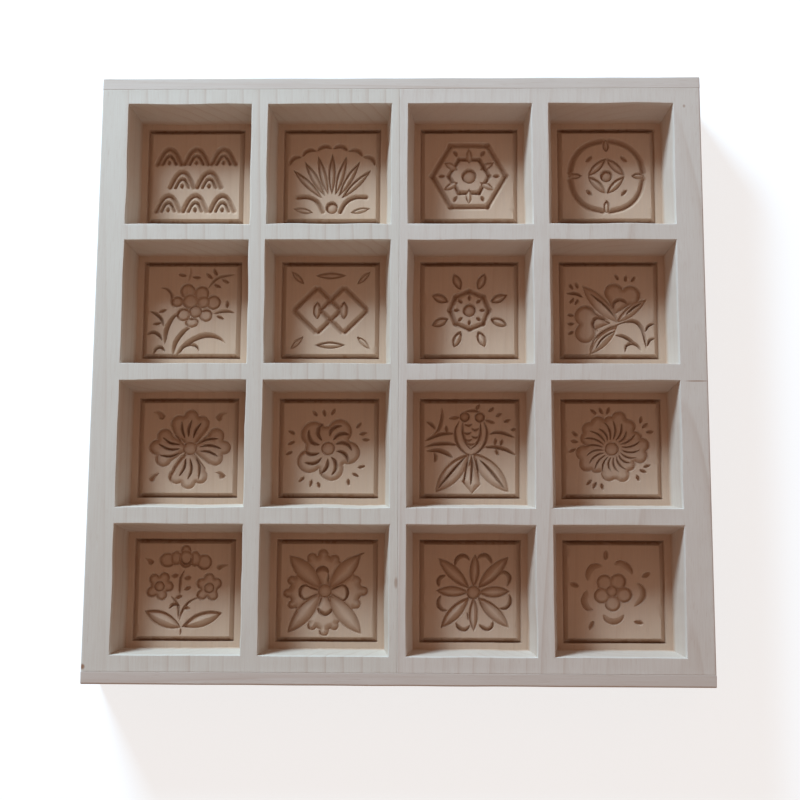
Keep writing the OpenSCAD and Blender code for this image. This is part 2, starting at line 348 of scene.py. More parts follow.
@dataclass(frozen=True)
class Lens:
    """Leaf outline with two pointed ends."""

    start: Point
    end: Point
    width: float

    def inside(self, u: np.ndarray, v: np.ndarray) -> np.ndarray:
        """Measure how far points lie inside the outline.

        Args:
            u: Places of the points to the right.
            v: Places of the points upwards.

        Returns:
            Their distances from the outline, below zero outside.
        """
        run = np.subtract(self.end, self.start)
        length = float(np.hypot(*run))
        radius = (length**2 + self.width**2) / (4 * self.width)
        side = np.array([-run[1], run[0]]) / length * (radius - self.width / 2)
        middle = (np.array(self.start) + np.array(self.end)) / 2
        return np.minimum(*(radius - np.hypot(u - c[0], v - c[1]) for c in (middle + side, middle - side)))


@dataclass(frozen=True)
class Wedge:
    """Outline with straight sides and no hollow corner, drawn to the left round its middle."""

    corners: Sequence[Point]

    def inside(self, u: np.ndarray, v: np.ndarray) -> np.ndarray:
        """Measure how far points lie inside the outline.

        Args:
            u: Places of the points to the right.
            v: Places of the points upwards.

        Returns:
            Their distances from the outline, below zero outside.
        """
        gaps = []
        for a, b in zip(self.corners, (*self.corners[1:], self.corners[0])):
            du, dv = b[0] - a[0], b[1] - a[1]
            gaps.append((du * (v - a[1]) - dv * (u - a[0])) / math.hypot(du, dv))
        return np.minimum.reduce(gaps)

    def outline(self) -> np.ndarray:
        """Follow the outline.

        Returns:
            Points along it, one row each.
        """
        corners = np.array((*self.corners, self.corners[0]), float)
        share = np.linspace(0, 1, SIDE_POINTS)[:, None]
        return np.vstack([a * (1 - share) + b * share for a, b in zip(corners[:-1], corners[1:])])


@dataclass(frozen=True)
class Joined:
    """Outline round several shapes that overlap."""

    shapes: Sequence[Shape]

    def inside(self, u: np.ndarray, v: np.ndarray) -> np.ndarray:
        """Measure how far points lie inside the outline.

        Args:
            u: Places of the points to the right.
            v: Places of the points upwards.

        Returns:
            Their distances from the outline, below zero outside.
        """
        deepest = np.maximum.reduce([shape.inside(u, v) for shape in self.shapes])
        gap = np.full_like(u, np.inf)
        for points in np.array_split(self.outline(), OUTLINE_PORTIONS):
            away = np.hypot(u[..., None] - points[:, 0], v[..., None] - points[:, 1])
            gap = np.minimum(gap, away.min(-1))
        return np.where((deepest > 0) & (gap > OUTLINE_ZONE), gap, deepest)

    def outline(self) -> np.ndarray:
        """Follow the outline.

        Returns:
            Points along it, one row each.
        """
        kept = []
        for shape in self.shapes:
            line = shape.outline()
            others = [other.inside(*line.T) for other in self.shapes if other is not shape]
            kept.append(line[np.maximum.reduce(others) < COVERED])
        return np.vstack(kept)


@dataclass(frozen=True)
class Sunk:
    """Form that is cut upright along its outline and rises from there towards its middle."""

    shape: Shape
    depth: float
    reach: float
    crown: float = 0.0
    wall: float = 0.42
    over: bool = False

    def make(self, floor: FloorGrid) -> None:
        """Take the wood out of the floor.

        Args:
            floor: The floor.
        """
        inside = self.shape.inside(floor.u, floor.v)
        rise = np.clip(inside / self.reach, 0, 1)
        slope = self.crown + (self.depth - self.crown) * (1 - rise) ** RISE_HOLLOW
        edge = np.clip(inside * floor.half / self.wall, 0, 1)
        if self.over:
            floor.depth = np.where(inside > 0, floor.depth * (1 - edge) + slope * edge, floor.depth)
        else:
            floor.depth = np.maximum(floor.depth, slope * edge * (inside > 0))


@dataclass(frozen=True)
class Bead:
    """Round boss in a ring-shaped trench, which replaces what lies there."""

    middle: Point
    radius: float
    depth: float = 1.7
    top: float = 0.75
    trench: float = 0.12
    bank: float = 1.06

    def make(self, floor: FloorGrid) -> None:
        """Take the wood out of the floor.

        Args:
            floor: The floor.
        """
        part = np.hypot(floor.u - self.middle[0], floor.v - self.middle[1]) / self.radius
        low = 1 - self.trench
        dome = self.depth - (self.depth - self.top) * np.sqrt(np.clip(1 - (part / low) ** 2, 0, 1))
        bank = self.depth * np.clip((self.bank - part) / (self.bank - low), 0, 1)
        floor.depth = np.where(part < low, dome, np.maximum(floor.depth, bank * (part < self.bank)))


# Figures on the floors


def vein(points: Sequence[Point], width: float = 0.07, depth: float = 1.15) -> Stroke:
    """Make a fine line that thins out at both ends."""
    return Stroke(points, width, depth)


def veins(lines: Iterable[Sequence[Point]], width: float = 0.08, depth: float = 2.1) -> list[Stroke]:
    """Make a fine line along each of several lines."""
    return [vein(line, width, depth) for line in lines]


def dash(at: Point, degrees: float, length: float = 0.17, width: float = 0.085) -> Stroke:
    """Make a short dent round a point.

    Args:
        at: The point.
        degrees: Which way the dent lies.
        length: Its length.
        width: Its width.

    Returns:
        The stroke.
    """
    half = polar(length / 2, degrees)
    ends = [(at[0] - half[0], at[1] - half[1]), (at[0] + half[0], at[1] + half[1])]
    return Stroke(ends, width, DENT_DEPTH, Gouge.ROUND)


def dents(spots: Iterable[Spot], length: float = 0.17, width: float = 0.085) -> list[Stroke]:
    """Make a short dent at each of several places, turned by an angle."""
    return [dash((u, v), turn, length, width) for u, v, turn in spots]


def rounds(*spots: Spot) -> list[Oval]:
    """Make round outlines from their middles and radii."""
    return [Oval((u, v), radius) for u, v, radius in spots]


def lobed(spots: Sequence[Spot], corners: Sequence[Point]) -> Joined:
    """Join round lobes to the body that they stand on."""
    return Joined((*rounds(*spots), Wedge(corners)))


def blade(points: Sequence[Point], width: float = 0.11, depth: float = 2.4) -> Stroke:
    """Make a blade of grass, cut upright on the right of its line."""
    return Stroke(points, width, depth, Gouge.RIGHT_WALL)


def stem(points: Sequence[Point], width: float = 0.09, depth: float = 1.8) -> Stroke:
    """Make a stem, cut upright on the right of its line."""
    return Stroke(points, width, depth, Gouge.RIGHT_WALL)


def bold(points: Sequence[Point], width: float = 0.15, depth: float = 1.9) -> Stroke:
    """Make a broad V-cut with round ends."""
    return Stroke(points, width, depth, Gouge.VEE, Taper.LEVEL)


def leaf(start: Point, end: Point, width: float, depth: float = 1.35) -> Sunk:
    """Make a leaf with steep edges and a ridge down its middle."""
    return Sunk(Lens(start, end, width), depth, width / 2, over=True)


def petal(shape: Shape, reach: float = 0.12) -> Sunk:
    """Make a petal that is deepest along its outline and lies over what was cut before."""
    return Sunk(shape, PETAL_DEPTH, reach, PETAL_CROWN, over=True)


class FigureBook:
    """The figures, each a list of cuts in the order in which they are made."""

    def figure_cuts(self, name: str) -> list[Cut]:
        """Give the cuts of the figure with a name."""
        return getattr(self, name)()

    def wave_scales(self) -> list[Cut]:
        """Draw rows of wave scales, every other row set off by half.

        Returns:
            The cuts, in order.
        """
        cuts: list[Cut] = []
        for tier in range(3):
            count = 3 - tier % 2
            for i in range(count):
                at = ((i - (count - 1) / 2) * 0.62, 0.5 - tier * 0.56)
                for half, rise, width in ((0.27, 0.36, 0.14), (0.15, 0.2, 0.1)):
                    ends = ((at[0] - half, at[1] - 0.2), (at[0] + half, at[1] - 0.2))
                    cuts.append(Stroke(arc(*ends, rise), width, 1.8, Gouge.VEE, Taper.LEVEL))
                cuts.append(dash((at[0], at[1] - 0.17), 90, 0.13, 0.1))
        return cuts

    def ribbed_fan(self) -> list[Cut]:
        """Draw ribs that open from a root, under an edge of scallops.

        Returns:
            The cuts, in order.
        """
        root = (0.0, -0.74)
        spread = 15.0
        cuts: list[Cut] = []
        for rib in range(-3, 4):
            ends = spun([(0.3, 0.0), (1.27, 0.0)], root, 90 + rib * spread)
            cuts.append(leaf(ends[0], ends[1], 0.18, 1.7))
        for scallop in range(6):
            turn = 90 + (scallop - 2.5) * spread
            cuts.append(Stroke(spun(arc(polar(1.39, 7), polar(1.39, -7), 0.09), root, turn), 0.13, 1.7))
        for side in (-1, 1):
            cuts.append(bold(arc((side * 0.2, -0.84), (side * 0.78, -0.5), side * 0.14), 0.13))
            cuts.append(leaf((side * 0.42, -0.86), (side * 0.88, -0.76), 0.14))
        cuts.append(Bead(root, 0.14))
        return cuts

    def tortoiseshell(self) -> list[Cut]:
        """Draw a six-sided outline with spokes and a boss in its middle.

        Returns:
            The cuts, in order.
        """
        cuts: list[Cut] = []
        for i in range(6):
            turn = 30 + 60 * i
            origin = (0.0, 0.0)
            cuts.append(bold(spun([polar(0.84, -30), polar(0.84, 30)], origin, turn), 0.15))
            cuts.append(bold(spun([polar(0.46, 30), polar(0.46, 90)], origin, turn), 0.12))
            cuts.append(leaf(*spun([(0.29, 0.0), (0.66, 0.0)], origin, turn), 0.16))
            cuts.append(dash(polar(0.62, turn + 30), turn + 30, 0.16, 0.1))
        cuts.append(Bead((0.0, 0.0), 0.17))
        return cuts

    def coin_ring(self) -> list[Cut]:
        """Draw four coins that overlap a fifth: petals round a hollow-sided square.

        Returns:
            The cuts, in order.
        """
        cuts: list[Cut] = []
        for i in range(4):
            turn = 90.0 * i
            origin = (0.0, 0.0)
            cuts.append(leaf(*spun([(0.42, 0.0), (0.0, 0.42)], origin, turn), 0.2, 1.6))
            cuts.append(bold(spun(arc(polar(0.84, 6), polar(0.84, 84), -0.2), origin, turn), 0.16))
            cuts.append(leaf(*spun([(0.56, 0.0), (0.88, 0.0)], origin, turn), 0.16, 1.6))
            cuts.append(dash(polar(0.56, turn + 45), turn - 45, 0.2, 0.1))
        cuts.append(Bead((0.0, 0.0), 0.14))
        return cuts

    def linked_lozenges(self) -> list[Cut]:
        """Draw two lozenges linked corner through corner.

        Returns:
            The cuts, in order.
        """
        cuts: list[Cut] = []
        for side in (-1, 1):
            middle = (side * 0.3, 0.0)
            for i in range(4):
                cuts.append(bold(spun([polar(0.5, 4), polar(0.5, 86)], middle, 90.0 * i), 0.15))
            cuts.append(leaf((middle[0], -0.22), (middle[0], 0.22), 0.2, 1.6))
            cuts.append(leaf((-0.34, side * 0.8), (0.34, side * 0.8), 0.17, 1.6))
            for up in (-1, 1):
                cuts.append(leaf((side * 0.6, up * 0.6), (side * 0.9, up * 0.9), 0.14))
        return cuts

    def lattice_star(self) -> list[Cut]:
        """Draw an eight-pointed lattice star round a boss.

        Returns:
            The cuts, in order.
        """
        cuts: list[Cut] = []
        for i in range(8):
            turn = 22.5 + 45.0 * i
            origin = (0.0, 0.0)
            cuts.append(bold(spun([polar(0.44, -22.5), polar(0.44, 22.5)], origin, turn), 0.14))
            cuts.append(leaf(*spun([(0.51, 0.0), (0.92, 0.0)], origin, turn), 0.21, 1.7))
            cuts.append(dash(polar(0.29, turn + 22.5), turn + 22.5, 0.14, 0.09))
        cuts.append(Bead((0.0, 0.0), 0.15))
        return cuts

    def flower_spray(self) -> list[Cut]:
        """Draw a spray of round petals on bending stems, with grass below.

        Returns:
            The cuts, in order.
        """
        petals = (
            (-0.35, 0.2, 0.135), (-0.12, 0.45, 0.175), (0.2, 0.4, 0.175), (0.47, 0.18, 0.175),
            (-0.2, -0.1, 0.16), (0.31, -0.12, 0.155), (-0.06, 0.21, 0.178), (0.237, 0.19, 0.15),
        )
        cuts: list[Cut] = [petal(Oval((u, v), r), 0.08) for u, v, r in petals]
        cuts.append(petal(Oval((0.0, -0.285), 0.16, 0.12), 0.08))
        cuts += dents((
            (-0.24, 0.81, -10), (0.08, 0.76, -8), (0.37, 0.79, -45), (0.505, 0.88, -60),
            (0.74, 0.67, -30), (0.555, 0.56, -25), (0.79, 0.135, 88), (0.635, -0.17, -25),
            (-0.67, -0.02, 20), (-0.79, -0.31, 10),
        ), 0.19, 0.085)
        cuts += [
            stem([(-0.07, 1.01), (-0.05, 0.86), (-0.11, 0.64)], 0.06, 0.9),
            stem([(0.35, 0.49), (0.46, 0.655), (0.625, 0.775), (0.96, 0.825)], 0.075),
            stem([(-0.74, 0.51), (-0.58, 0.49), (-0.475, 0.36), (-0.46, 0.15), (-0.4, 0.03)], 0.075),
            stem([(0.47, -0.09), (0.64, -0.035), (0.81, -0.02), (0.97, -0.075)], 0.08),
            blade([
                (-0.36, -1.06), (-0.14, -0.79), (0.15, -0.62), (0.41, -0.575), (0.645, -0.655),
                (0.77, -0.77),
            ], 0.13),
            blade([
                (-0.28, -1.02), (-0.18, -0.845), (-0.03, -0.785), (0.12, -0.83), (0.19, -0.97),
            ], 0.085),
            blade([
                (-0.41, -1.05), (-0.37, -0.77), (-0.24, -0.55), (-0.09, -0.415), (0.04, -0.375),
            ], 0.115),
            blade([(-0.6, -0.8), (-0.585, -0.5), (-0.52, -0.3), (-0.41, -0.14), (-0.27, -0.04)], 0.115),
            blade([(-1.02, -0.565), (-0.87, -0.5), (-0.73, -0.58), (-0.66, -0.72)], 0.09),
            blade([(-0.97, -0.015), (-0.81, -0.09), (-0.69, -0.21), (-0.63, -0.39)], 0.09),
            blade([(-0.86, -1.02), (-0.79, -0.88), (-0.68, -0.85), (-0.58, -0.96)], 0.085),
            Bead((0.068, -0.025), 0.15),
        ]
        return cuts

    def leaf_fan(self) -> list[Cut]:
        """Draw three leaves and two lobed petals that open from one point, with grass beside them.

        Returns:
            The cuts, in order.
        """
        upper = ((0.14, -0.1), (0.6, 0.2), (0.36, 0.52), (-0.06, 0.34))
        lower = ((-0.62, -0.6), (0.05, -0.3), (-0.45, 0.06))
        cuts: list[Cut] = [
            petal(lobed(((0.12, 0.41, 0.22), (0.49, 0.355, 0.225)), upper)),
            petal(lobed(((-0.53, -0.125, 0.245), (-0.53, -0.51, 0.24)), lower)),
            blade([
                (0.12, 0.0), (0.1, 0.15), (0.16, 0.23), (0.27, 0.26), (0.39, 0.195), (0.43, 0.1),
            ], 0.1),
            blade([
                (-0.23, -0.5), (-0.35, -0.38), (-0.355, -0.24), (-0.26, -0.155), (-0.1, -0.18),
                (0.0, -0.25),
            ], 0.1),
            leaf((0.21, -0.29), (-0.59, 0.575), 0.34),
            leaf((0.15, -0.29), (0.85, 0.26), 0.25),
            leaf((0.2, -0.35), (-0.46, -1.02), 0.27),
        ]
        cuts += veins((
            [(0.15, -0.17), (0.0, 0.03), (-0.19, 0.21), (-0.42, 0.39)],
            [(0.75, 0.18), (0.56, 0.06), (0.38, -0.1)], [(0.13, -0.46), (-0.13, -0.63), (-0.31, -0.88)],
        ), 0.075, 1.9)
        cuts += dents((
            (0.19, 0.76, -60), (0.39, 0.73, 85), (0.555, 0.715, 55), (-0.84, 0.54, -60),
            (-0.71, 0.57, -75), (-0.83, 0.22, 55), (-0.72, 0.19, 60), (-0.86, -0.11, -10),
            (-0.86, -0.31, 0), (-0.86, -0.515, 30),
        ), 0.15, 0.08)
        cuts += [
            stem([
                (0.3, -0.28), (0.16, -0.35), (-0.05, -0.44), (-0.27, -0.61), (-0.4, -0.82),
                (-0.455, -0.97),
            ], 0.085),
            blade([(-0.96, 0.385), (-0.74, 0.39), (-0.57, 0.3)], 0.085),
            blade([
                (0.2, -0.315), (0.39, -0.255), (0.565, -0.25), (0.7, -0.355), (0.78, -0.55), (0.83, -0.9),
            ], 0.1),
            blade([(0.8, -0.5), (0.885, -0.345), (1.03, -0.3)], 0.075),
            blade([(0.84, -0.84), (0.9, -0.68), (1.03, -0.635)], 0.075),
            blade([(0.13, -0.57), (0.305, -0.59), (0.48, -0.69), (0.6, -0.8)], 0.09),
            blade([(0.35, -0.97), (0.38, -0.81), (0.51, -0.75), (0.64, -0.82), (0.71, -0.95)], 0.085),
        ]
        return cuts

    def four_petal_flower(self) -> list[Cut]:
        """Draw a flower of four petals with three lobes each, and a drop in each corner.

        Returns:
            The cuts, in order.
        """
        middle = (0.03, -0.01)
        lobes = (
            ((0.61, 0.27, 0.19), (0.785, 0.01, 0.17), (0.6, -0.225, 0.185)),
            ((-0.535, 0.25, 0.185), (-0.705, 0.015, 0.18), (-0.55, -0.25, 0.185)),
            ((-0.22, 0.55, 0.19), (0.045, 0.7, 0.17), (0.28, 0.545, 0.18)),
            ((-0.25, -0.64, 0.18), (0.015, -0.755, 0.175), (0.27, -0.64, 0.175)),
        )
        bodies = (
            (
                (0.03, 0.0), (0.15, -0.13), (0.445, -0.365), (0.63, -0.39), (0.85, 0.0), (0.64, 0.45),
                (0.45, 0.36), (0.18, 0.12),
            ),
            (
                (0.03, 0.0), (-0.12, 0.11), (-0.415, 0.34), (-0.57, 0.4), (-0.82, 0.02), (-0.6, -0.41),
                (-0.445, -0.38), (-0.15, -0.14),
            ),
            (
                (-0.13, 0.14), (0.03, 0.0), (0.2, 0.13), (0.42, 0.4), (0.42, 0.6), (0.05, 0.81),
                (-0.38, 0.63), (-0.42, 0.5), (-0.33, 0.31),
            ),
            (
                (-0.19, -0.21), (-0.33, -0.41), (-0.42, -0.69), (0.0, -0.87), (0.43, -0.69),
                (0.39, -0.435), (0.215, -0.21), (0.03, 0.0),
            ),
        )
        cuts: list[Cut] = [petal(lobed(*form)) for form in zip(lobes, bodies)]
        cuts += veins((
            [(-0.085, 0.215), (-0.155, 0.4), (-0.17, 0.6)],
            [(-0.005, 0.24), (-0.01, 0.43), (0.055, 0.63)], [(0.095, 0.21), (0.15, 0.4), (0.27, 0.575)],
            [(-0.17, 0.14), (-0.305, 0.3)], [(0.23, 0.11), (0.41, 0.195), (0.66, 0.215)],
            [(0.25, 0.025), (0.47, 0.065), (0.74, -0.02)],
            [(0.245, -0.07), (0.455, -0.085), (0.66, -0.19)],
            [(-0.06, -0.22), (-0.085, -0.435), (-0.2, -0.64)],
            [(0.04, -0.235), (0.075, -0.48), (-0.005, -0.71)],
            [(0.155, -0.2), (0.255, -0.41), (0.24, -0.695)],
            [(-0.19, 0.075), (-0.41, 0.11), (-0.59, 0.24)],
            [(-0.185, -0.02), (-0.435, -0.03), (-0.685, 0.09)],
            [(-0.19, -0.11), (-0.42, -0.19), (-0.665, -0.16)],
        ))
        drops = (
            [(-0.58, 0.64), (-0.67, 0.78), (-0.82, 0.8)], [(0.645, 0.615), (0.71, 0.745), (0.86, 0.795)],
            [(-0.82, -0.755), (-0.75, -0.64), (-0.62, -0.565)],
            [(0.8, -0.69), (0.73, -0.58), (0.61, -0.55)],
        )
        cuts += [Stroke(line, 0.17, 1.5, Gouge.ROUND, Taper.TAILED) for line in drops]
        cuts.append(Bead(middle, 0.16))
        return cuts

    def five_petal_flower(self) -> list[Cut]:
        """Draw a flower of five petals with three lobes each, and dashes between them.

        Returns:
            The cuts, in order.
        """
        lobes = rounds(
            (-0.28, 0.56, 0.18), (-0.48, 0.44, 0.17), (-0.53, 0.24, 0.16), (0.18, 0.68, 0.17),
            (-0.015, 0.6, 0.15), (0.38, 0.5, 0.17), (0.54, 0.27, 0.14), (0.68, 0.09, 0.17),
            (0.63, -0.15, 0.18), (0.4, -0.36, 0.14), (0.24, -0.57, 0.175), (-0.05, -0.55, 0.18),
            (-0.32, -0.39, 0.16), (-0.54, -0.33, 0.18), (-0.61, -0.09, 0.18),
        )
        bodies = (
            ((0.0, 0.05), (0.44, 0.42), (0.5, 0.6), (0.2, 0.79), (-0.08, 0.7), (-0.13, 0.58)),
            ((0.0, 0.05), (-0.15, 0.6), (-0.3, 0.69), (-0.58, 0.54), (-0.66, 0.24), (-0.6, 0.12)),
            ((0.0, 0.0), (-0.66, 0.02), (-0.74, -0.1), (-0.67, -0.42), (-0.35, -0.49), (-0.22, -0.42)),
            ((0.0, 0.0), (-0.17, -0.58), (-0.05, -0.69), (0.27, -0.7), (0.45, -0.45), (0.48, -0.33)),
            ((0.0, 0.0), (0.52, -0.27), (0.71, -0.27), (0.81, 0.08), (0.6, 0.36), (0.48, 0.36)),
        )
        forms = (*lobes, *(Wedge(corners) for corners in bodies), Oval((0.02, 0.0), 0.585))
        cuts: list[Cut] = [petal(Joined(forms))]
        for i, reach in enumerate((0.6, 0.64, 0.62, 0.5, 0.6, 0.62, 0.6, 0.52, 0.62, 0.64, 0.62, 0.56,
                                   0.6, 0.6, 0.56, 0.5, 0.54, 0.55, 0.5, 0.55)):
            line = arc(polar(0.19, 18 * i - 6), polar(reach + 0.02, 18 * i - 2), -0.06)
            cuts.append(Stroke(spun(line, (0.02, 0.01), 0.0), 0.062, 1.5))
        cuts += dents((
            (-0.385, 0.83, -42), (-0.22, 0.85, -65), (-0.06, 0.85, 68), (0.66, 0.65, 82),
            (0.75, 0.525, 42), (0.85, 0.38, 5), (0.775, -0.38, 15), (0.69, -0.497, -25),
            (0.575, -0.648, -65), (-0.21, -0.84, -70), (-0.375, -0.81, 62), (-0.5, -0.747, 45),
            (-0.862, -0.035, 25), (-0.816, 0.165, -4), (-0.806, 0.33, -40),
        ))
        cuts.append(Bead((0.015, 0.0), 0.16))
        return cuts

    def pinwheel_flower(self) -> list[Cut]:
        """Draw a flower of five round petals that swirl round its eye.

        Returns:
            The cuts, in order.
        """
        middle = (-0.018, -0.005)
        discs = rounds(
            (-0.335, 0.315, 0.295), (0.235, 0.38, 0.28), (0.433, -0.1, 0.27), (0.066, -0.465, 0.275),
            (-0.425, -0.286, 0.28),
        )
        cuts: list[Cut] = [petal(Joined((*discs, Oval(middle, 0.51))))]
        cuts += [Stroke(line, 0.115, 2.3) for line in (
            [(-0.15, 0.165), (-0.245, 0.32), (-0.22, 0.48), (-0.12, 0.55)],
            [(-0.2, 0.075), (-0.37, 0.13), (-0.45, 0.27), (-0.45, 0.42)],
            [(0.01, 0.275), (0.055, 0.42), (0.165, 0.49), (0.29, 0.5)],
            [(0.09, 0.18), (0.19, 0.295), (0.32, 0.335), (0.47, 0.3)],
            [(0.14, 0.095), (0.29, 0.13), (0.43, 0.08), (0.51, -0.05)],
            [(0.165, -0.057), (0.305, -0.09), (0.4, -0.19), (0.435, -0.33)],
            [(0.055, -0.19), (0.145, -0.3), (0.162, -0.45), (0.07, -0.605)],
            [(-0.02, -0.23), (-0.03, -0.4), (-0.11, -0.51), (-0.2, -0.585)],
            [(-0.155, -0.21), (-0.26, -0.31), (-0.385, -0.345), (-0.54, -0.315)],
            [(-0.205, -0.105), (-0.345, -0.14), (-0.45, -0.12), (-0.545, -0.055)],
        )]
        cuts += dents((
            (-0.313, 0.778, -55), (-0.108, 0.79, -75), (0.091, 0.812, 60), (0.664, 0.51, 52),
            (0.757, 0.33, 12), (0.822, 0.193, -4), (0.73, -0.416, 14), (0.602, -0.599, -32),
            (0.448, -0.76, -80), (-0.207, -0.828, -68), (-0.383, -0.785, 78), (-0.592, -0.698, 40),
            (-0.878, -0.112, 28), (-0.836, 0.115, 20), (-0.829, 0.355, -28),
        ))
        cuts.append(Bead(middle, 0.158))
        return cuts

    def goldfish(self) -> list[Cut]:
        """Draw a goldfish seen from above, with a long divided tail.

        Returns:
            The cuts, in order.
        """
        fan = Wedge(((0.04, -0.14), (-0.18, -0.735), (0.05, -1.02), (0.25, -0.8)))
        cuts: list[Cut] = [Sunk(form, 1.4, 0.12, 0.3, over=True) for form in (
            Lens((0.0, -0.11), (-0.76, -0.97), 0.42), Lens((0.07, -0.09), (0.87, -0.98), 0.42), fan,
        )]
        cuts += veins((
            [(-0.09, -0.18), (-0.36, -0.47), (-0.7, -0.88)],
            [(0.22, -0.25), (0.44, -0.47), (0.78, -0.905)], [(0.05, -0.2), (0.045, -0.5), (0.02, -0.82)],
            [(-0.04, -0.24), (-0.08, -0.45), (-0.13, -0.72)],
            [(0.14, -0.22), (0.175, -0.48), (0.22, -0.74)],
        ), 0.085, 2.0)
        cuts += veins((
            [(-0.23, 0.62), (-0.32, 0.4), (-0.28, 0.12), (-0.13, -0.08), (0.03, -0.15)],
            [(0.31, 0.62), (0.385, 0.36), (0.31, 0.07), (0.16, -0.09), (0.0, -0.15)],
            [(-0.15, 0.6), (-0.155, 0.36), (-0.09, 0.14), (0.02, -0.03)],
            [(0.24, 0.58), (0.235, 0.34), (0.16, 0.12), (0.0, -0.03)],
            [(-0.14, 0.82), (0.06, 0.85), (0.26, 0.81)],
        ), 0.085, 1.6)
        for u, v in ((-0.03, 0.53), (0.12, 0.43), (-0.05, 0.345), (0.12, 0.26), (-0.03, 0.19), (0.03, 0.1)):
            cuts.append(Stroke(arc((u - 0.085, v + 0.03), (u + 0.085, v + 0.03), -0.045), 0.075, 1.3))
        cuts += [
            Stroke([(-0.46, 0.67), (-0.22, 0.7)], 0.09, 1.3, Gouge.ROUND),
            Stroke([(0.34, 0.64), (0.56, 0.57)], 0.09, 1.3, Gouge.ROUND),
            blade([(-1.0, 0.16), (-0.78, 0.28), (-0.55, 0.34), (-0.33, 0.33)], 0.1),
            blade([(-1.0, 0.03), (-0.78, 0.1), (-0.5, 0.115), (-0.25, 0.07)], 0.1),
            blade([(-0.97, -0.06), (-0.72, -0.03), (-0.52, -0.1), (-0.36, -0.22)], 0.12),
            blade([(0.42, 0.31), (0.58, 0.37), (0.78, 0.34), (1.0, 0.24)], 0.09),
            blade([(0.3, 0.03), (0.55, 0.04), (0.8, -0.02), (1.03, -0.16)], 0.1),
            stem([(-0.62, 0.92), (-0.61, 0.7), (-0.69, 0.42), (-0.86, 0.28)], 0.09),
            stem([(-0.97, 0.6), (-0.86, 0.55), (-0.76, 0.43)], 0.09),
            stem([(-0.8, -0.08), (-0.75, -0.18), (-0.78, -0.32)], 0.085),
        ]
        cuts += dents((
            (0.48, 0.87, 38), (0.645, 0.755, 30), (0.83, 0.62, 20), (0.985, 0.43, 12), (0.18, 0.93, 60),
            (-0.52, 0.44, -80), (0.565, 0.155, 84), (0.7, 0.14, 78), (0.605, -0.09, -65),
        ), 0.16, 0.085)
        cuts += [Bead((-0.11, 0.71), 0.112), Bead((0.225, 0.7), 0.112)]
        return cuts

    def bouquet(self) -> list[Cut]:
        """Draw a lotus over two round flowers and a pair of long leaves.

        Returns:
            The cuts, in order.
        """
        lotus = (
            (-0.39, 0.645, 0.185, 0.165), (0.42, 0.6, 0.175, 0.175), (0.01, 0.86, 0.115, 0.125),
            (-0.2, 0.69, 0.125, 0.165), (0.215, 0.68, 0.125, 0.18), (0.015, 0.67, 0.165, 0.2),
        )
        cuts: list[Cut] = [petal(Oval((u, v), across, up), 0.07) for u, v, across, up in lotus]
        cuts.append(vein([(-0.1, 0.72), (-0.07, 0.6), (0.015, 0.555), (0.1, 0.6), (0.13, 0.72)], 0.075, 1.6))
        flowers = (
            ((-0.56, 0.07), (-0.67, 0.225), (-0.45, 0.26), (-0.36, 0.07), (-0.5, -0.12), (-0.72, -0.05)),
            ((0.535, 0.04), (0.535, 0.25), (0.7, 0.14), (0.62, -0.12), (0.385, -0.105), (0.375, 0.14)),
        )
        for eye, *tips in flowers:
            ring = Joined([Oval(eye, 0.2), *(Oval(tip, 0.125) for tip in tips)])
            cuts += [petal(ring, 0.08), Bead(eye, 0.118)]
        cuts += [
            leaf((-0.05, -0.83), (-0.86, -0.455), 0.34, 1.7),
            leaf((-0.04, -0.8), (0.84, -0.49), 0.33, 1.7),
            stem([(0.0, 0.44), (-0.085, 0.25), (-0.1, 0.02), (-0.09, -0.12)], 0.07),
            stem([(-0.3, -0.13), (-0.155, -0.29), (-0.11, -0.46), (-0.12, -0.65)], 0.07),
            stem([(0.33, -0.155), (0.11, -0.27), (-0.03, -0.46), (-0.1, -0.7)], 0.075),
            blade([(-0.33, -0.42), (-0.24, -0.315), (-0.14, -0.33), (-0.1, -0.42)], 0.09),
            vein([(-0.05, -0.83), (-0.06, -0.99)], 0.05, 0.9),
            Stroke([(-0.72, 0.55), (-0.78, 0.63), (-0.89, 0.69)], 0.15, 1.4, Gouge.ROUND, Taper.TAILED),
            Stroke([(0.71, 0.46), (0.82, 0.52), (0.97, 0.545)], 0.13, 1.4, Gouge.ROUND, Taper.TAILED),
        ]
        cuts += dents((
            (-0.21, 0.305, 15), (0.07, 0.26, 10), (0.07, 0.035, 25), (-0.12, -0.16, 20),
            (0.06, -0.4, -15),
        ), 0.16, 0.11)
        return cuts

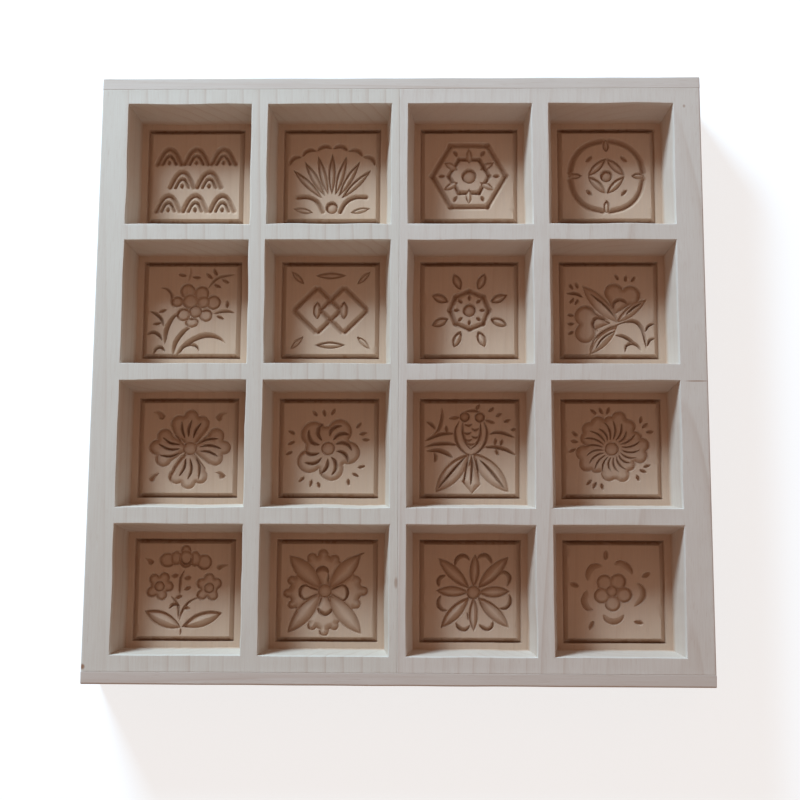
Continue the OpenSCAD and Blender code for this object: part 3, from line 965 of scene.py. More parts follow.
    def leaf_cross(self) -> list[Cut]:
        """Draw four broad leaves on the diagonals, with a tongue and a scalloped edge between each pair.

        Returns:
            The cuts, in order.
        """
        edges = (
            ((-0.335, 0.7, 0.12), (-0.09, 0.79, 0.12), (0.155, 0.665, 0.12)),
            ((0.63, 0.21, 0.12), (0.79, -0.015, 0.115), (0.63, -0.295, 0.12)),
            ((-0.315, -0.766, 0.11), (-0.052, -0.885, 0.115), (0.165, -0.766, 0.11)),
            ((-0.775, 0.215, 0.105), (-0.865, -0.065, 0.105), (-0.755, -0.31, 0.105)),
        )
        bodies = (
            ((-0.05, 0.0), (0.36, 0.6), (-0.09, 0.83), (-0.5, 0.62)),
            ((-0.05, 0.0), (0.54, -0.47), (0.83, 0.0), (0.56, 0.4)),
            ((-0.05, 0.0), (-0.46, -0.67), (-0.05, -0.93), (0.34, -0.66)),
            ((-0.05, 0.0), (-0.66, 0.39), (-0.9, -0.05), (-0.64, -0.45)),
        )
        cuts: list[Cut] = []
        for form in zip(edges, bodies):
            cuts.append(Sunk(lobed(*form), 1.5, 0.15))
        tongues = (
            ([(-0.25, 0.36), (-0.195, 0.44), (-0.105, 0.475), (-0.02, 0.445), (0.035, 0.37)], 0.13),
            ([(0.26, 0.1), (0.36, 0.1), (0.43, 0.035), (0.44, -0.1), (0.38, -0.2), (0.28, -0.19)], 0.085),
            ([(0.11, -0.36), (0.065, -0.455), (-0.04, -0.505), (-0.14, -0.46), (-0.2, -0.36)], 0.12),
            ([(-0.38, -0.16), (-0.5, -0.185), (-0.58, -0.1), (-0.575, 0.03), (-0.49, 0.1), (-0.38, 0.07)],
             0.085),
        )
        cuts += [Stroke(line, width, 2.2, Gouge.LEFT_WALL) for line, width in tongues]
        cuts += veins((
            [(-0.235, 0.38), (-0.2, 0.27), (-0.13, 0.12)], [(0.03, 0.38), (0.02, 0.26), (0.0, 0.14)],
            [(-0.19, -0.37), (-0.15, -0.26), (-0.11, -0.14)], [(0.1, -0.37), (0.07, -0.26), (0.0, -0.14)],
            [(0.32, 0.105), (0.22, 0.075), (0.08, 0.01)], [(0.34, -0.2), (0.22, -0.15), (0.08, -0.06)],
            [(-0.44, 0.09), (-0.33, 0.045), (-0.18, 0.0)],
            [(-0.45, -0.18), (-0.33, -0.13), (-0.18, -0.06)],
        ), 0.055, 1.3)
        for start, tip, width in (
            ((-0.14, 0.07), (-0.84, 0.76), 0.38), ((0.04, 0.07), (0.735, 0.79), 0.38),
            ((-0.14, -0.08), (-0.85, -0.915), 0.38), ((0.04, -0.1), (0.765, -0.95), 0.39),
        ):
            cuts.append(Sunk(Lens(start, tip, width), 1.6, 0.17, 0.1, over=True))
        cuts += [vein([(0.56, 0.7), (0.7, 0.78), (0.82, 0.82)], 0.06, 1.3), Bead((-0.05, -0.01), 0.155)]
        return cuts

    def eight_petal_star(self) -> list[Cut]:
        """Draw eight pointed petals with an arc between each pair.

        Returns:
            The cuts, in order.
        """
        middle = (0.073, -0.03)
        cuts: list[Cut] = [Stroke(line, 0.105, 2.1, Gouge.LEFT_WALL) for line in (
            [(-0.33, 0.52), (-0.305, 0.65), (-0.24, 0.74), (-0.14, 0.77), (-0.055, 0.72), (-0.005, 0.65)],
            [(0.15, 0.69), (0.24, 0.77), (0.345, 0.775), (0.425, 0.705), (0.48, 0.58)],
            [(0.6, 0.35), (0.735, 0.41), (0.835, 0.353), (0.86, 0.255), (0.8, 0.1)],
            [(0.845, -0.05), (0.87, -0.17), (0.85, -0.28), (0.76, -0.367), (0.62, -0.37)],
            [(0.5, -0.64), (0.465, -0.763), (0.38, -0.814), (0.28, -0.79), (0.19, -0.71)],
            [(0.0, -0.73), (-0.085, -0.82), (-0.17, -0.825), (-0.255, -0.777), (-0.315, -0.67)],
            [(-0.49, -0.43), (-0.61, -0.395), (-0.68, -0.31), (-0.685, -0.2), (-0.63, -0.09)],
            [(-0.675, 0.09), (-0.69, 0.2), (-0.655, 0.28), (-0.53, 0.34)],
        )]
        petals = (
            (-0.75, 0.005, 0.25), (0.865, -0.005, 0.27), (0.115, 0.81, 0.23), (0.08, -0.88, 0.22),
            (-0.695, 0.715, 0.29), (0.84, 0.75, 0.3), (-0.645, -0.8, 0.3), (0.85, -0.8, 0.3),
        )
        for u, v, width in petals:
            start = (middle[0] + (u - middle[0]) * 0.12, middle[1] + (v - middle[1]) * 0.12)
            cuts.append(Sunk(Lens(start, (u, v), width), 1.6, width / 2, 0.1, over=True))
        cuts += [vein([(-0.07, -0.45), (-0.03, -0.65)], 0.05), Bead(middle, 0.153)]
        return cuts

    def plum_blossom(self) -> list[Cut]:
        """Draw a plum blossom: round petals, then a ring of half-moons and drops.

        Returns:
            The cuts, in order.
        """
        petals = ((-0.2, 0.2), (0.1, 0.222), (0.228, -0.07), (-0.02, -0.265), (-0.262, -0.09))
        cuts: list[Cut] = [petal(Oval(spot, 0.178), 0.08) for spot in petals]
        moons = (
            [(-0.615, 0.25), (-0.605, 0.425), (-0.49, 0.585), (-0.262, 0.62)],
            [(0.02, 0.635), (0.165, 0.685), (0.34, 0.585), (0.455, 0.405)],
            [(0.54, 0.216), (0.675, 0.07), (0.675, -0.14), (0.48, -0.355)],
            [(0.237, -0.535), (0.14, -0.655), (0.0, -0.71), (-0.15, -0.67), (-0.262, -0.537)],
            [(-0.49, -0.44), (-0.63, -0.385), (-0.71, -0.2), (-0.635, 0.036)],
        )
        for line in moons:
            spine = np.array(line) * 0.915 + np.array((-0.035, 0.005)) * 0.085
            cuts.append(Stroke([(float(u), float(v)) for u, v in spine], 0.15, 1.6, Gouge.LEFT_WALL))
        cuts += dents((
            (-0.165, 0.79, 85), (0.705, 0.367, 30), (-0.86, 0.147, -20), (-0.497, -0.725, 65),
            (0.527, -0.662, -12),
        ), 0.21, 0.12)
        cuts.append(Bead((-0.037, 0.007), 0.125))
        return cuts


# Shape of the wood

# What counts as on the same line of a grid, in millimetres
NEAR = 1e-3
# Sides of a bore
BORE_SIDES = 40
# Faces that meet at more than this angle keep a crease, in degrees
CREASE = 42.0


@dataclass(frozen=True)
class CavitySizes:
    """Sizes of a cavity, in millimetres."""

    mouth: float = 62.2
    foot: float = 56.0
    ledge: float = 2.9
    groove: float = 2.6
    end_groove: float = 3.2
    side_groove: float = 1.9
    stop: float = 0.5
    figure_depth: float = 1.35
    rim: float = 0.35
    lip: float = 0.05
    toe: float = 0.3
    step: float = 0.3
    bank_lines: int = 5
    wall_lines: int = 9

    @property
    def half_floor(self) -> float:
        """Half the side of the carved floor."""
        return self.foot / 2 - self.ledge - self.groove

    def section(self, floor: float, top: float, groove: float) -> tuple[list[float], list[float]]:
        """Give the cavity's section from its middle outwards.

        Args:
            floor: Height of the floor.
            top: Height of the top face.
            groove: Depth of the groove round the floor.

        Returns:
            Distances from the middle, and the heights there.
        """
        half, rim = self.mouth / 2, self.rim
        ledge = self.half_floor + self.groove
        outer = [half - self.lip, half + rim / 3, half + rim]
        reach = [self.half_floor, ledge - self.stop, ledge, self.foot / 2, *outer]
        height = [floor, floor - groove, floor, floor, top - rim, top - rim / 4, top]
        return reach, height

    def offsets(self) -> np.ndarray:
        """Lay the grid's lines across one cavity.

        Returns:
            Their distances from its middle.
        """
        half, ledge = self.half_floor, self.half_floor + self.groove
        deep = ledge - self.stop
        foot, mouth = self.foot / 2, self.mouth / 2
        bank = np.linspace(half, deep, self.bank_lines)[1:]
        wall = np.linspace(foot, mouth - self.lip, self.wall_lines)[1:]
        outer = [
            *bank, (deep + ledge) / 2, ledge, ledge + self.ledge / 2, foot - self.toe, foot,
            *wall, mouth + self.rim / 3, mouth + self.rim,
        ]
        count = int(round(2 * half / self.step))
        inner = np.linspace(-half, half, count + 1)
        return np.concatenate([-np.array(outer[::-1]), inner, outer])


class Waviness:
    """Gentle unevenness of hand work, the same each time for one seed."""

    def __init__(self, seed: int, shortest: float, longest: float, waves: int = 9) -> None:
        """Draw the waves.

        Args:
            seed: Seed of the draw.
            shortest: Shortest wave, in millimetres.
            longest: Longest wave, in millimetres.
            waves: How many waves add up.
        """
        draw = np.random.default_rng(seed)
        length = draw.uniform(shortest, longest, waves)
        angle = draw.uniform(0, 2 * math.pi, waves)
        self.u = np.cos(angle) * 2 * math.pi / length
        self.v = np.sin(angle) * 2 * math.pi / length
        self.phase = draw.uniform(0, 2 * math.pi, waves)

    def at(self, x: np.ndarray, y: np.ndarray) -> np.ndarray:
        """Work out the unevenness at points.

        Args:
            x: Places of the points along X, in millimetres.
            y: Places of the points along Y.

        Returns:
            Values mostly between -1 and 1.
        """
        total = np.zeros_like(x)
        for u, v, phase in zip(self.u, self.v, self.phase):
            total += np.sin(u * x + v * y + phase)
        return total / math.sqrt(len(self.u))


@dataclass(frozen=True)
class Cavity:
    """One cavity of the board: where it lies and which figure its floor carries."""

    figure: str
    x: float
    y: float
    floor: float


@dataclass(frozen=True)
class Bore:
    """Round hole for a dowel or a pin, from one end of its axis to the other."""

    start: Vector
    end: Vector
    radius: float


def bore_of(node: str, gap: float = 0.05 * MM, end_gap: float = 0.5 * MM) -> Bore:
    """Find the bore that a dowel or a pin lies in.

    Args:
        node: The dowel's or pin's node.
        gap: Space round it.
        end_gap: Space past its ends.

    Returns:
        The bore along the node's longest side.
    """
    low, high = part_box(node)
    size = high - low
    axis = max(range(3), key=lambda i: size[i])
    middle = (low + high) / 2
    reach = Vector((0, 0, 0))
    reach[axis] = size[axis] / 2 + end_gap
    return Bore(middle - reach, middle + reach, min(size) / 2 + gap)


def settled(piece: bpy.types.Object) -> None:
    """Replace a piece's mesh with what its modifiers make of it.

    Args:
        piece: The piece.
    """
    deps = bpy.context.evaluated_depsgraph_get()
    mesh = bpy.data.meshes.new_from_object(piece.evaluated_get(deps))
    old = piece.data
    piece.modifiers.clear()
    piece.data = mesh
    mesh.name = piece.name
    bpy.data.meshes.remove(old)


def drill(piece: bpy.types.Object, bores: Sequence[Bore]) -> None:
    """Cut bores out of a piece.

    Args:
        piece: The piece.
        bores: The bores.
    """
    work = bmesh.new()
    for bore in bores:
        run = bore.end - bore.start
        turn = run.to_track_quat("Z", "Y").to_matrix().to_4x4()
        place = Matrix.Translation((bore.start + bore.end) / 2) @ turn
        bmesh.ops.create_cone(
            work, cap_ends=True, segments=BORE_SIDES, radius1=bore.radius, radius2=bore.radius,
            depth=run.length, matrix=place,
        )
    mesh = bpy.data.meshes.new("bores")
    work.to_mesh(mesh)
    work.free()
    cutter = bpy.data.objects.new("bores", mesh)
    bpy.context.scene.collection.objects.link(cutter)
    cut = piece.modifiers.new("bores", "BOOLEAN")
    cut.operation = "DIFFERENCE"
    cut.solver = "MANIFOLD"
    cut.object = cutter
    settled(piece)
    bpy.data.objects.remove(cutter)
    bpy.data.meshes.remove(mesh)


def shade(piece: bpy.types.Object) -> None:
    """Shade a piece smoothly between its creases.

    Args:
        piece: The piece.
    """
    piece.data.shade_smooth()
    piece.data.set_sharp_from_angle(angle=math.radians(CREASE))
    even = piece.modifiers.new("even normals", "WEIGHTED_NORMAL")
    even.keep_sharp = True
    settled(piece)


def rounded(distance: np.ndarray, radius: float) -> np.ndarray:
    """Give how far a rounded edge has dropped at distances from it."""
    left = np.clip(radius - distance, 0, radius)
    return radius - np.sqrt(radius**2 - left**2)


@dataclass
class Plank:
    """One plank of the board, with its cavities cut and carved. Its sizes are in millimetres."""

    node: str
    cavities: Sequence[Cavity]
    bores: Sequence[Bore]
    seed: int
    sizes: CavitySizes = CavitySizes()
    outer_edge: float = 0.8
    joint_edge: float = 0.22
    edge_lines: tuple[float, ...] = (0.0, 0.04, 0.12, 0.22, 0.4)
    widest_gap: float = 2.2
    gap_step: float = 1.6
    corner_blend: float = 1.2
    wall_zone: float = 4.0
    floor_sway: float = 0.15
    still_edge: float = 1.0
    still_zone: float = 5.0
    level_zone: float = 2.0
    sway: float = 0.17
    sway_waves: Point = (18, 60)
    chisel: float = 0.06
    chisel_waves: Point = (5, 11)
    chisel_stretch: float = 0.4
    sag: float = 0.07
    sag_waves: Point = (14, 40)
    top_sag: float = 0.03
    top_wear: float = 0.06
    planed: float = 0.01
    split_margin: float = 1.0
    mark_margin: float = 1.5
    mark_below: float = 5.0
    # How the carving is marked for dirt and painted shade: from how far below the floor, over what depth,
    # and how much in the grooves beside and beyond the floor
    residue_from: float = 0.2
    residue_over: float = 1.3
    side_residue: float = 0.5
    end_residue: float = 1.7
    faces: int = 186_000

    def __post_init__(self) -> None:
        """Take the plank's place from its solid."""
        low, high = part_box(self.node)
        self.low = np.array(low) / MM
        self.high = np.array(high) / MM
        self.outer_right = abs(self.high[0]) > abs(self.low[0])

    def lines(self, axis: int) -> np.ndarray:
        """Lay the grid's lines across the plank.

        Args:
            axis: 0 for lines along X, 1 for lines along Y.

        Returns:
            Their places, from low to high.
        """
        low, high = self.low[axis], self.high[axis]
        ends = np.array([*self.edge_lines, max(self.outer_edge, self.joint_edge)])
        middles = sorted({round(c.y if axis else c.x, 4) for c in self.cavities})
        lines = [low + ends, high - ends]
        lines += [middle + self.sizes.offsets() for middle in middles]
        known = np.unique(np.round(np.concatenate(lines), 4))
        extra = []
        for i in np.flatnonzero(np.diff(known) > self.widest_gap):
            steps = int(np.ceil((known[i + 1] - known[i]) / self.gap_step))
            extra.append(np.linspace(known[i], known[i + 1], steps + 1))
        return np.unique(np.round(np.concatenate([known, *extra]), 4))

    def heights(self, xs: np.ndarray, ys: np.ndarray) -> tuple[np.ndarray, np.ndarray]:
        """Shape the top of the plank.

        Args:
            xs: Lines along X.
            ys: Lines along Y.

        Returns:
            The height at each crossing, and how much it belongs to a cavity's walls, from 0 to 1.
        """
        top = self.high[2]
        height = np.full((len(ys), len(xs)), top)
        sway = np.zeros_like(height)
        book = FigureBook()
        sizes = self.sizes
        for cavity in self.cavities:
            reach, side_level = sizes.section(cavity.floor, top, sizes.side_groove)
            end_level = sizes.section(cavity.floor, top, sizes.end_groove)[1]
            across, up = np.abs(xs - cavity.x), np.abs(ys - cavity.y)
            columns = np.flatnonzero(across < reach[-1] + NEAR)
            rows = np.flatnonzero(up < reach[-1] + NEAR)
            away = np.maximum(up[rows][:, None], across[columns][None, :])
            place = np.ix_(rows, columns)
            past_corner = up[rows][:, None] - across[columns][None, :]
            lean = np.clip(past_corner / self.corner_blend + 0.5, 0, 1)
            end_height, side_height = (np.interp(away, reach, level) for level in (end_level, side_level))
            height[place] = lean * end_height + (1 - lean) * side_height
            up_wall = (away - sizes.foot / 2 + self.wall_zone) / self.wall_zone
            sway[place] = np.clip(up_wall, self.floor_sway, 1)
            on_floor = across[columns] < sizes.half_floor + NEAR
            floor = FloorGrid(xs[columns][on_floor] - cavity.x, sizes.half_floor)
            for cut in book.figure_cuts(cavity.figure):
                cut.make(floor)
            carved = np.ix_(rows[up[rows] < sizes.half_floor + NEAR], columns[on_floor])
            height[carved] -= sizes.figure_depth * floor.depth
            LOG.info("carved %s", cavity.figure)
        return height, sway

    def build(self) -> bpy.types.Object:
        """Make the plank's mesh.

        Returns:
            The plank, which replaces its solid.
        """
        xs, ys = self.lines(0), self.lines(1)
        height, sway = self.heights(xs, ys)
        x, y = np.meshgrid(xs, ys)
        ends = np.minimum(y - self.low[1], self.high[1] - y)
        inset = np.minimum(np.minimum(x - self.low[0], self.high[0] - x), ends)
        hold = np.clip((inset - self.still_edge) / self.still_zone, 0, 1) * sway
        deep = np.clip((self.high[2] - height) / self.wall_zone, 0, 1)
        shift_x, shift_y, lowered = self.unevenness(x, y, deep)
        joint = np.minimum(self.joint_distance(x), ends)
        outer = rounded(self.edge_distance(x), self.outer_edge)
        drop = np.maximum(outer, rounded(joint, self.joint_edge))
        height = height + lowered * np.clip(inset / self.level_zone, 0, 1) - drop - self.planed
        points = np.stack([x + hold * shift_x, y + hold * shift_y, height], -1).reshape(-1, 3)
        piece = self.closed_mesh(points, height, xs, ys)
        thin = piece.modifiers.new("fewer faces", "DECIMATE")
        thin.ratio = min(1.0, self.faces / (2.0 * (len(xs) - 1) * (len(ys) - 1)))
        settled(piece)
        drill(piece, self.bores)
        shade(piece)
        self.mark_depths(piece)
        return piece

    def unevenness(self, x: np.ndarray, y: np.ndarray, deep: np.ndarray) -> tuple[np.ndarray, ...]:
        """Work out the marks of hand work on the top.

        Args:
            x: Places of the crossings along X.
            y: Places of the crossings along Y.
            deep: How far down a cavity's wall they lie, from 0 to 1.

        Returns:
            How far the crossings move along X, along Y and up.
        """
        sway_x, sway_y = (Waviness(self.seed + i, *self.sway_waves) for i in (0, 1))
        chisel_x, chisel_y = (Waviness(self.seed + i, *self.chisel_waves) for i in (2, 3))
        shift_x = self.sway * sway_x.at(x, y) + self.chisel * deep * chisel_x.at(self.chisel_stretch * x, y)
        shift_y = self.sway * sway_y.at(x, y) + self.chisel * deep * chisel_y.at(x, self.chisel_stretch * y)
        sag = Waviness(self.seed + 4, *self.sag_waves).at(x, y)
        top = self.top_sag * np.clip(sag, -1, 1) - self.top_wear
        return shift_x, shift_y, np.where(deep > 0, self.sag * sag * deep, top)

    def edge_distance(self, x: np.ndarray) -> np.ndarray:
        """Give the distance from the board's long side."""
        return self.high[0] - x if self.outer_right else x - self.low[0]

    def joint_distance(self, x: np.ndarray) -> np.ndarray:
        """Give the distance from the seam between the planks."""
        return x - self.low[0] if self.outer_right else self.high[0] - x

    def closed_mesh(
        self, points: np.ndarray, height: np.ndarray, xs: np.ndarray, ys: np.ndarray
    ) -> bpy.types.Object:
        """Close the plank below its top surface.

        Args:
            points: Points of the top, row by row, in millimetres.
            height: Their heights, as a grid.
            xs: Lines along X.
            ys: Lines along Y.

        Returns:
            The closed piece.
        """
        wide, tall = len(xs), len(ys)
        index = np.arange(wide * tall).reshape(tall, wide)
        a, b = index[:-1, :-1].ravel(), index[:-1, 1:].ravel()
        c, d = index[1:, 1:].ravel(), index[1:, :-1].ravel()
        slant = self.slants(height, xs, ys).ravel()
        first = np.where(slant[:, None], np.stack([a, b, c], -1), np.stack([a, b, d], -1))
        second = np.where(slant[:, None], np.stack([a, c, d], -1), np.stack([b, c, d], -1))
        loop = np.concatenate([index[0, :-1], index[:-1, -1], index[-1, :0:-1], index[:0:-1, 0]])
        rim = points[loop]
        foot, base = rim.copy(), rim.copy()
        foot[:, 2] = self.outer_edge
        base[:, 2] = 0.0
        outer = self.high[0] if self.outer_right else self.low[0]
        base[:, 0] += np.where(np.isclose(rim[:, 0], outer), -np.sign(outer) * self.outer_edge, 0)
        feet = wide * tall + np.arange(len(loop))
        bases = feet + len(loop)
        walls = []
        for upper, lower in ((loop, feet), (feet, bases)):
            walls += np.stack([np.roll(upper, -1), upper, lower, np.roll(lower, -1)], -1).tolist()
        faces = [*first.tolist(), *second.tolist(), *walls, bases[::-1].tolist()]
        mesh = bpy.data.meshes.new(self.node + "_carved")
        mesh.from_pydata((np.vstack([points, foot, base]) * MM).tolist(), [], faces)
        mesh.validate()
        piece = bpy.data.objects.new(self.node + "_carved", mesh)
        bpy.context.scene.collection.objects.link(piece)
        return piece

    def slants(self, height: np.ndarray, xs: np.ndarray, ys: np.ndarray) -> np.ndarray:
        """Choose how each square of the grid is split in two.

        Args:
            height: Heights of the grid.
            xs: Lines along X.
            ys: Lines along Y.

        Returns:
            True where a square is split from its lower left to its upper right corner.
        """
        rising = np.abs(height[:-1, :-1] - height[1:, 1:])
        falling = np.abs(height[:-1, 1:] - height[1:, :-1])
        slant = rising <= falling
        middle_x = (xs[:-1] + xs[1:]) / 2
        middle_y = (ys[:-1] + ys[1:]) / 2
        for cavity in self.cavities:
            across, up = middle_x - cavity.x, middle_y - cavity.y
            near_x = np.abs(across) < self.sizes.mouth / 2 + self.split_margin
            near_y = np.abs(up) < self.sizes.mouth / 2 + self.split_margin
            framed = np.maximum.outer(np.abs(up[near_y]), np.abs(across[near_x])) > self.sizes.half_floor
            same = np.outer(np.sign(up[near_y]), np.sign(across[near_x])) > 0
            place = np.ix_(np.flatnonzero(near_y), np.flatnonzero(near_x))
            slant[place] = np.where(framed, same, slant[place])
        return slant

    def mark_depths(self, piece: bpy.types.Object) -> None:
        """Store how deep each point lies in its cavity and in the carving, for the finish's staining, dirt
        and painted shade.

        Args:
            piece: The plank's piece.
        """
        mesh = piece.data
        at = np.empty(len(mesh.vertices) * 3)
        mesh.vertices.foreach_get("co", at)
        at = at.reshape(-1, 3) / MM
        hollow, cut = np.zeros(len(at)), np.zeros(len(at))
        for cavity in self.cavities:
            away = np.maximum(np.abs(at[:, 0] - cavity.x), np.abs(at[:, 1] - cavity.y))
            within = away < self.sizes.mouth / 2 + self.mark_margin
            within &= at[:, 2] > cavity.floor - self.mark_below
            depth = np.clip((self.high[2] - at[:, 2]) / (self.high[2] - cavity.floor), 0, 1)
            hollow = np.where(within, depth, hollow)
            # The carving mark: dirt and painted shade, more in the grooves at the ends than in those at the
            # sides
            sunk = np.clip((cavity.floor - self.residue_from - at[:, 2]) / self.residue_over, 0, 1)
            beside = np.abs(at[:, 0] - cavity.x) > self.sizes.half_floor
            beyond = np.abs(at[:, 1] - cavity.y) > self.sizes.half_floor
            share = np.where(beside, self.side_residue, np.where(beyond, self.end_residue, 1.0))
            cut = np.where(within, sunk * share, cut)
        for name, values in (("hollow", hollow), ("cut", cut)):
            mark = mesh.attributes.new(name, "FLOAT", "POINT")
            mark.data.foreach_set("value", values.astype(np.float32))


@dataclass
class EndStrip:
    """Strip of wood over the planks' end grain. Its sizes are in millimetres."""

    node: str
    bores: Sequence[Bore]
    seed: int
    outer_edge: float = 0.8
    joint_edge: float = 0.22
    least_radius: float = 0.02
    corner_points: int = 5
    end_steps: tuple[float, ...] = (0.0, 0.06, 0.2, 0.45)
    end_length: float = 2.0
    stations: int = 150
    wear: float = 0.07
    wear_swing: float = 0.06
    wear_waves: Point = (20, 70)
    wave_turn: float = 3.0
    corner_zone: float = 1.0
    inner_zone: float = 5.0

    def section(self, inset: float) -> list[Point]:
        """Draw the strip's section.

        Args:
            inset: How far it is set in at a rounded end.

        Returns:
            Distances from the inner face, with heights.
        """
        low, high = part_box(self.node)
        wide, tall = (high.y - low.y) / MM, (high.z - low.z) / MM
        outline = []
        corners = (
            (wide, 0.0, self.outer_edge, -90), (wide, tall, self.outer_edge, 0),
            (0.0, tall, self.joint_edge, 90), (0.0, 0.0, self.joint_edge, 180),
        )
        for away, up, radius, start in corners:
            middle = (away - radius if away else radius, up - radius if up else radius)
            turns = (start + 90 * i / (self.corner_points - 1) for i in range(self.corner_points))
            radius = max(radius - inset, self.least_radius)
            outline += spun([polar(radius, turn) for turn in turns], middle, 0.0)
        return outline

    def ring(self, x: float, inset: float, wave: Waviness) -> list[Spot]:
        """Lay the strip's section at a place along it, worn at its top and its outer side.

        Args:
            x: The place, in millimetres.
            inset: How far the section is set in.
            wave: How the wear swings.

        Returns:
            Its points, in metres.
        """
        low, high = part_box(self.node)
        outward = 1 if low.y + high.y > 0 else -1
        inner = (low.y if outward > 0 else high.y) / MM
        tall = (high.z - low.z) / MM
        points = []
        for away, up in self.section(inset):
            swell = float(wave.at(np.array([x]), np.array([up * self.wave_turn + away]))[0])
            worn = self.wear + self.wear_swing * max(-1.0, min(1.0, swell))
            shrink = worn if up > self.corner_zone and away > self.corner_zone else 0.0
            rise = up - (shrink if up > tall - self.corner_zone else 0.0)
            reach = away - (shrink if away > self.inner_zone else 0.0)
            points.append((x * MM, (inner + outward * reach) * MM, rise * MM))
        return points

    def build(self) -> bpy.types.Object:
        """Make the strip's mesh.

        Returns:
            The strip, which replaces its solid.
        """
        low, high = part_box(self.node)
        first, last = low.x / MM, high.x / MM
        ends = np.array(self.end_steps)
        along = np.linspace(first + self.end_length, last - self.end_length, self.stations)
        places = np.concatenate([first + ends, along, last - ends[::-1]])
        insets = [*self.end_steps[::-1], *[0.0] * self.stations, *self.end_steps]
        wave = Waviness(self.seed, *self.wear_waves)
        rings = [self.ring(x, inset, wave) for x, inset in zip(places, insets)]
        points = [point for ring in rings for point in ring]
        index = np.arange(len(points)).reshape(len(rings), -1)
        here, following = index, np.roll(index, -1, axis=1)
        quads = np.stack([here[:-1], following[:-1], following[1:], here[1:]], -1).reshape(-1, 4)
        faces = [*quads.tolist(), index[0, ::-1].tolist(), index[-1].tolist()]
        mesh = bpy.data.meshes.new(self.node + "_worn")
        mesh.from_pydata(points, [], faces)
        piece = bpy.data.objects.new(self.node + "_worn", mesh)
        bpy.context.scene.collection.objects.link(piece)
        work = bmesh.new()
        work.from_mesh(mesh)
        bmesh.ops.recalc_face_normals(work, faces=work.faces)
        work.to_mesh(mesh)
        work.free()
        drill(piece, self.bores)
        shade(piece)
        return piece


# Finishes

# Places of the share and the two colours among a mix node's inputs, and of its colour among the outputs
COLOUR_MIX_INPUTS = (0, 6, 7)
COLOUR_MIX_OUTPUT = 2
WHITE: Colour = (1.0, 1.0, 1.0, 1.0)
# Height of the top face, in millimetres
TOP_FACE = 36.0


class Wiring:
    """Adds nodes to a node tree and links them."""

    def __init__(self, tree: bpy.types.NodeTree) -> None:
        """Keep the tree."""
        self.tree = tree

    def feed(self, socket: bpy.types.NodeSocket, value: object) -> None:
        """Link an output to a socket, or set the socket's own value.

        Args:
            socket: The socket.
            value: The output, or the value.
        """
        if isinstance(value, bpy.types.NodeSocket):
            self.tree.links.new(value, socket)
        else:
            socket.default_value = value

    def node(self, kind: str, inputs: dict[object, object], **settings: object) -> bpy.types.Node:
        """Add a node.

        Args:
            kind: Name of its type.
            inputs: Its inputs, by name or place.
            **settings: Its own settings.

        Returns:
            The node.
        """
        made = self.tree.nodes.new(kind)
        for key, value in settings.items():
            setattr(made, key, value)
        for key, value in inputs.items():
            self.feed(made.inputs[key], value)
        return made

    def math(self, operation: str, a: object, b: object) -> bpy.types.NodeSocket:
        """Work out one value from two."""
        return self.node("ShaderNodeMath", {0: a, 1: b}, operation=operation).outputs[0]

    def vector(self, operation: str, a: object, b: object) -> bpy.types.NodeSocket:
        """Work out a vector from two."""
        return self.node("ShaderNodeVectorMath", {0: a, 1: b}, operation=operation).outputs[0]

    def scaled(self, vector: object, scale: object) -> bpy.types.NodeSocket:
        """Lengthen a vector."""
        inputs = {"Vector": vector, "Scale": scale}
        return self.node("ShaderNodeVectorMath", inputs, operation="SCALE").outputs[0]

    def length(self, vector: object) -> bpy.types.NodeSocket:
        """Measure a vector."""
        return self.node("ShaderNodeVectorMath", {0: vector}, operation="LENGTH").outputs["Value"]

    def span(
        self, value: object, low: float, high: float, to_low: float = 0.0, to_high: float = 1.0
    ) -> bpy.types.NodeSocket:
        """Map a range of a value to another range, smoothly at its ends."""
        inputs = {"Value": value, "From Min": low, "From Max": high, "To Min": to_low, "To Max": to_high}
        return self.node("ShaderNodeMapRange", inputs, interpolation_type="SMOOTHSTEP").outputs["Result"]

    def mix(self, share: object, a: object, b: object) -> bpy.types.NodeSocket:
        """Mix two colours.

        Args:
            share: How much of the second colour shows, from 0 to 1.
            a: The first colour.
            b: The second colour.

        Returns:
            The mixed colour.
        """
        made = self.node("ShaderNodeMix", {}, data_type="RGBA")
        for place, value in zip(COLOUR_MIX_INPUTS, (share, a, b)):
            self.feed(made.inputs[place], value)
        return made.outputs[COLOUR_MIX_OUTPUT]

    def noise(self, vector: object, scale: float, detail: float, rough: float = 0.5) -> bpy.types.NodeSocket:
        """Add a noise texture and give its value."""
        inputs = {"Vector": vector, "Scale": scale, "Detail": detail, "Roughness": rough}
        return self.node("ShaderNodeTexNoise", inputs).outputs[0]

    def attribute(self, name: str) -> bpy.types.NodeSocket:
        """Read a value stored at the mesh's points."""
        return self.node("ShaderNodeAttribute", {}, attribute_name=name).outputs["Fac"]


def tint(red: int, green: int, blue: int) -> Colour:
    """Turn a colour as it shows on a screen into the linear colour of a shader.

    Args:
        red: Level of red, from 0 to 255.
        green: Level of green.
        blue: Level of blue.

    Returns:
        The colour, opaque.
    """
    parts = []
    for value in (red, green, blue):
        share = value / 255
        parts.append(share / 12.92 if share <= 0.04045 else ((share + 0.055) / 1.055) ** 2.4)
    return (parts[0], parts[1], parts[2], 1.0)


# How far rings, fibres and pores are drawn out along the grain: less is longer
RING_DRAW = 0.09
FIBRE_DRAW = 0.022
PORE_DRAW = 0.06
# How the rings wander, and the shares of a ring that are late and early wood
WANDER_SCALE = 26.0
HALF: Spot = (0.5, 0.5, 0.5)
LATE_WOOD = 7.0
EARLY_WOOD = 0.07
# Where the rings fade, and how much of them is left there
PATCH_SCALE = 34.0
PATCH_RANGE: Point = (0.35, 0.68)
PATCH_LEAST = 0.2
# Fineness and height of fibres and pores
FIBRE_ROUGHNESS = 0.6
FIBRE_HEIGHT = 0.7
PORES_PER_METRE = 2100.0
PORE_RANGE: Point = (0.64, 0.76)
PORE_DEPTH = 0.5


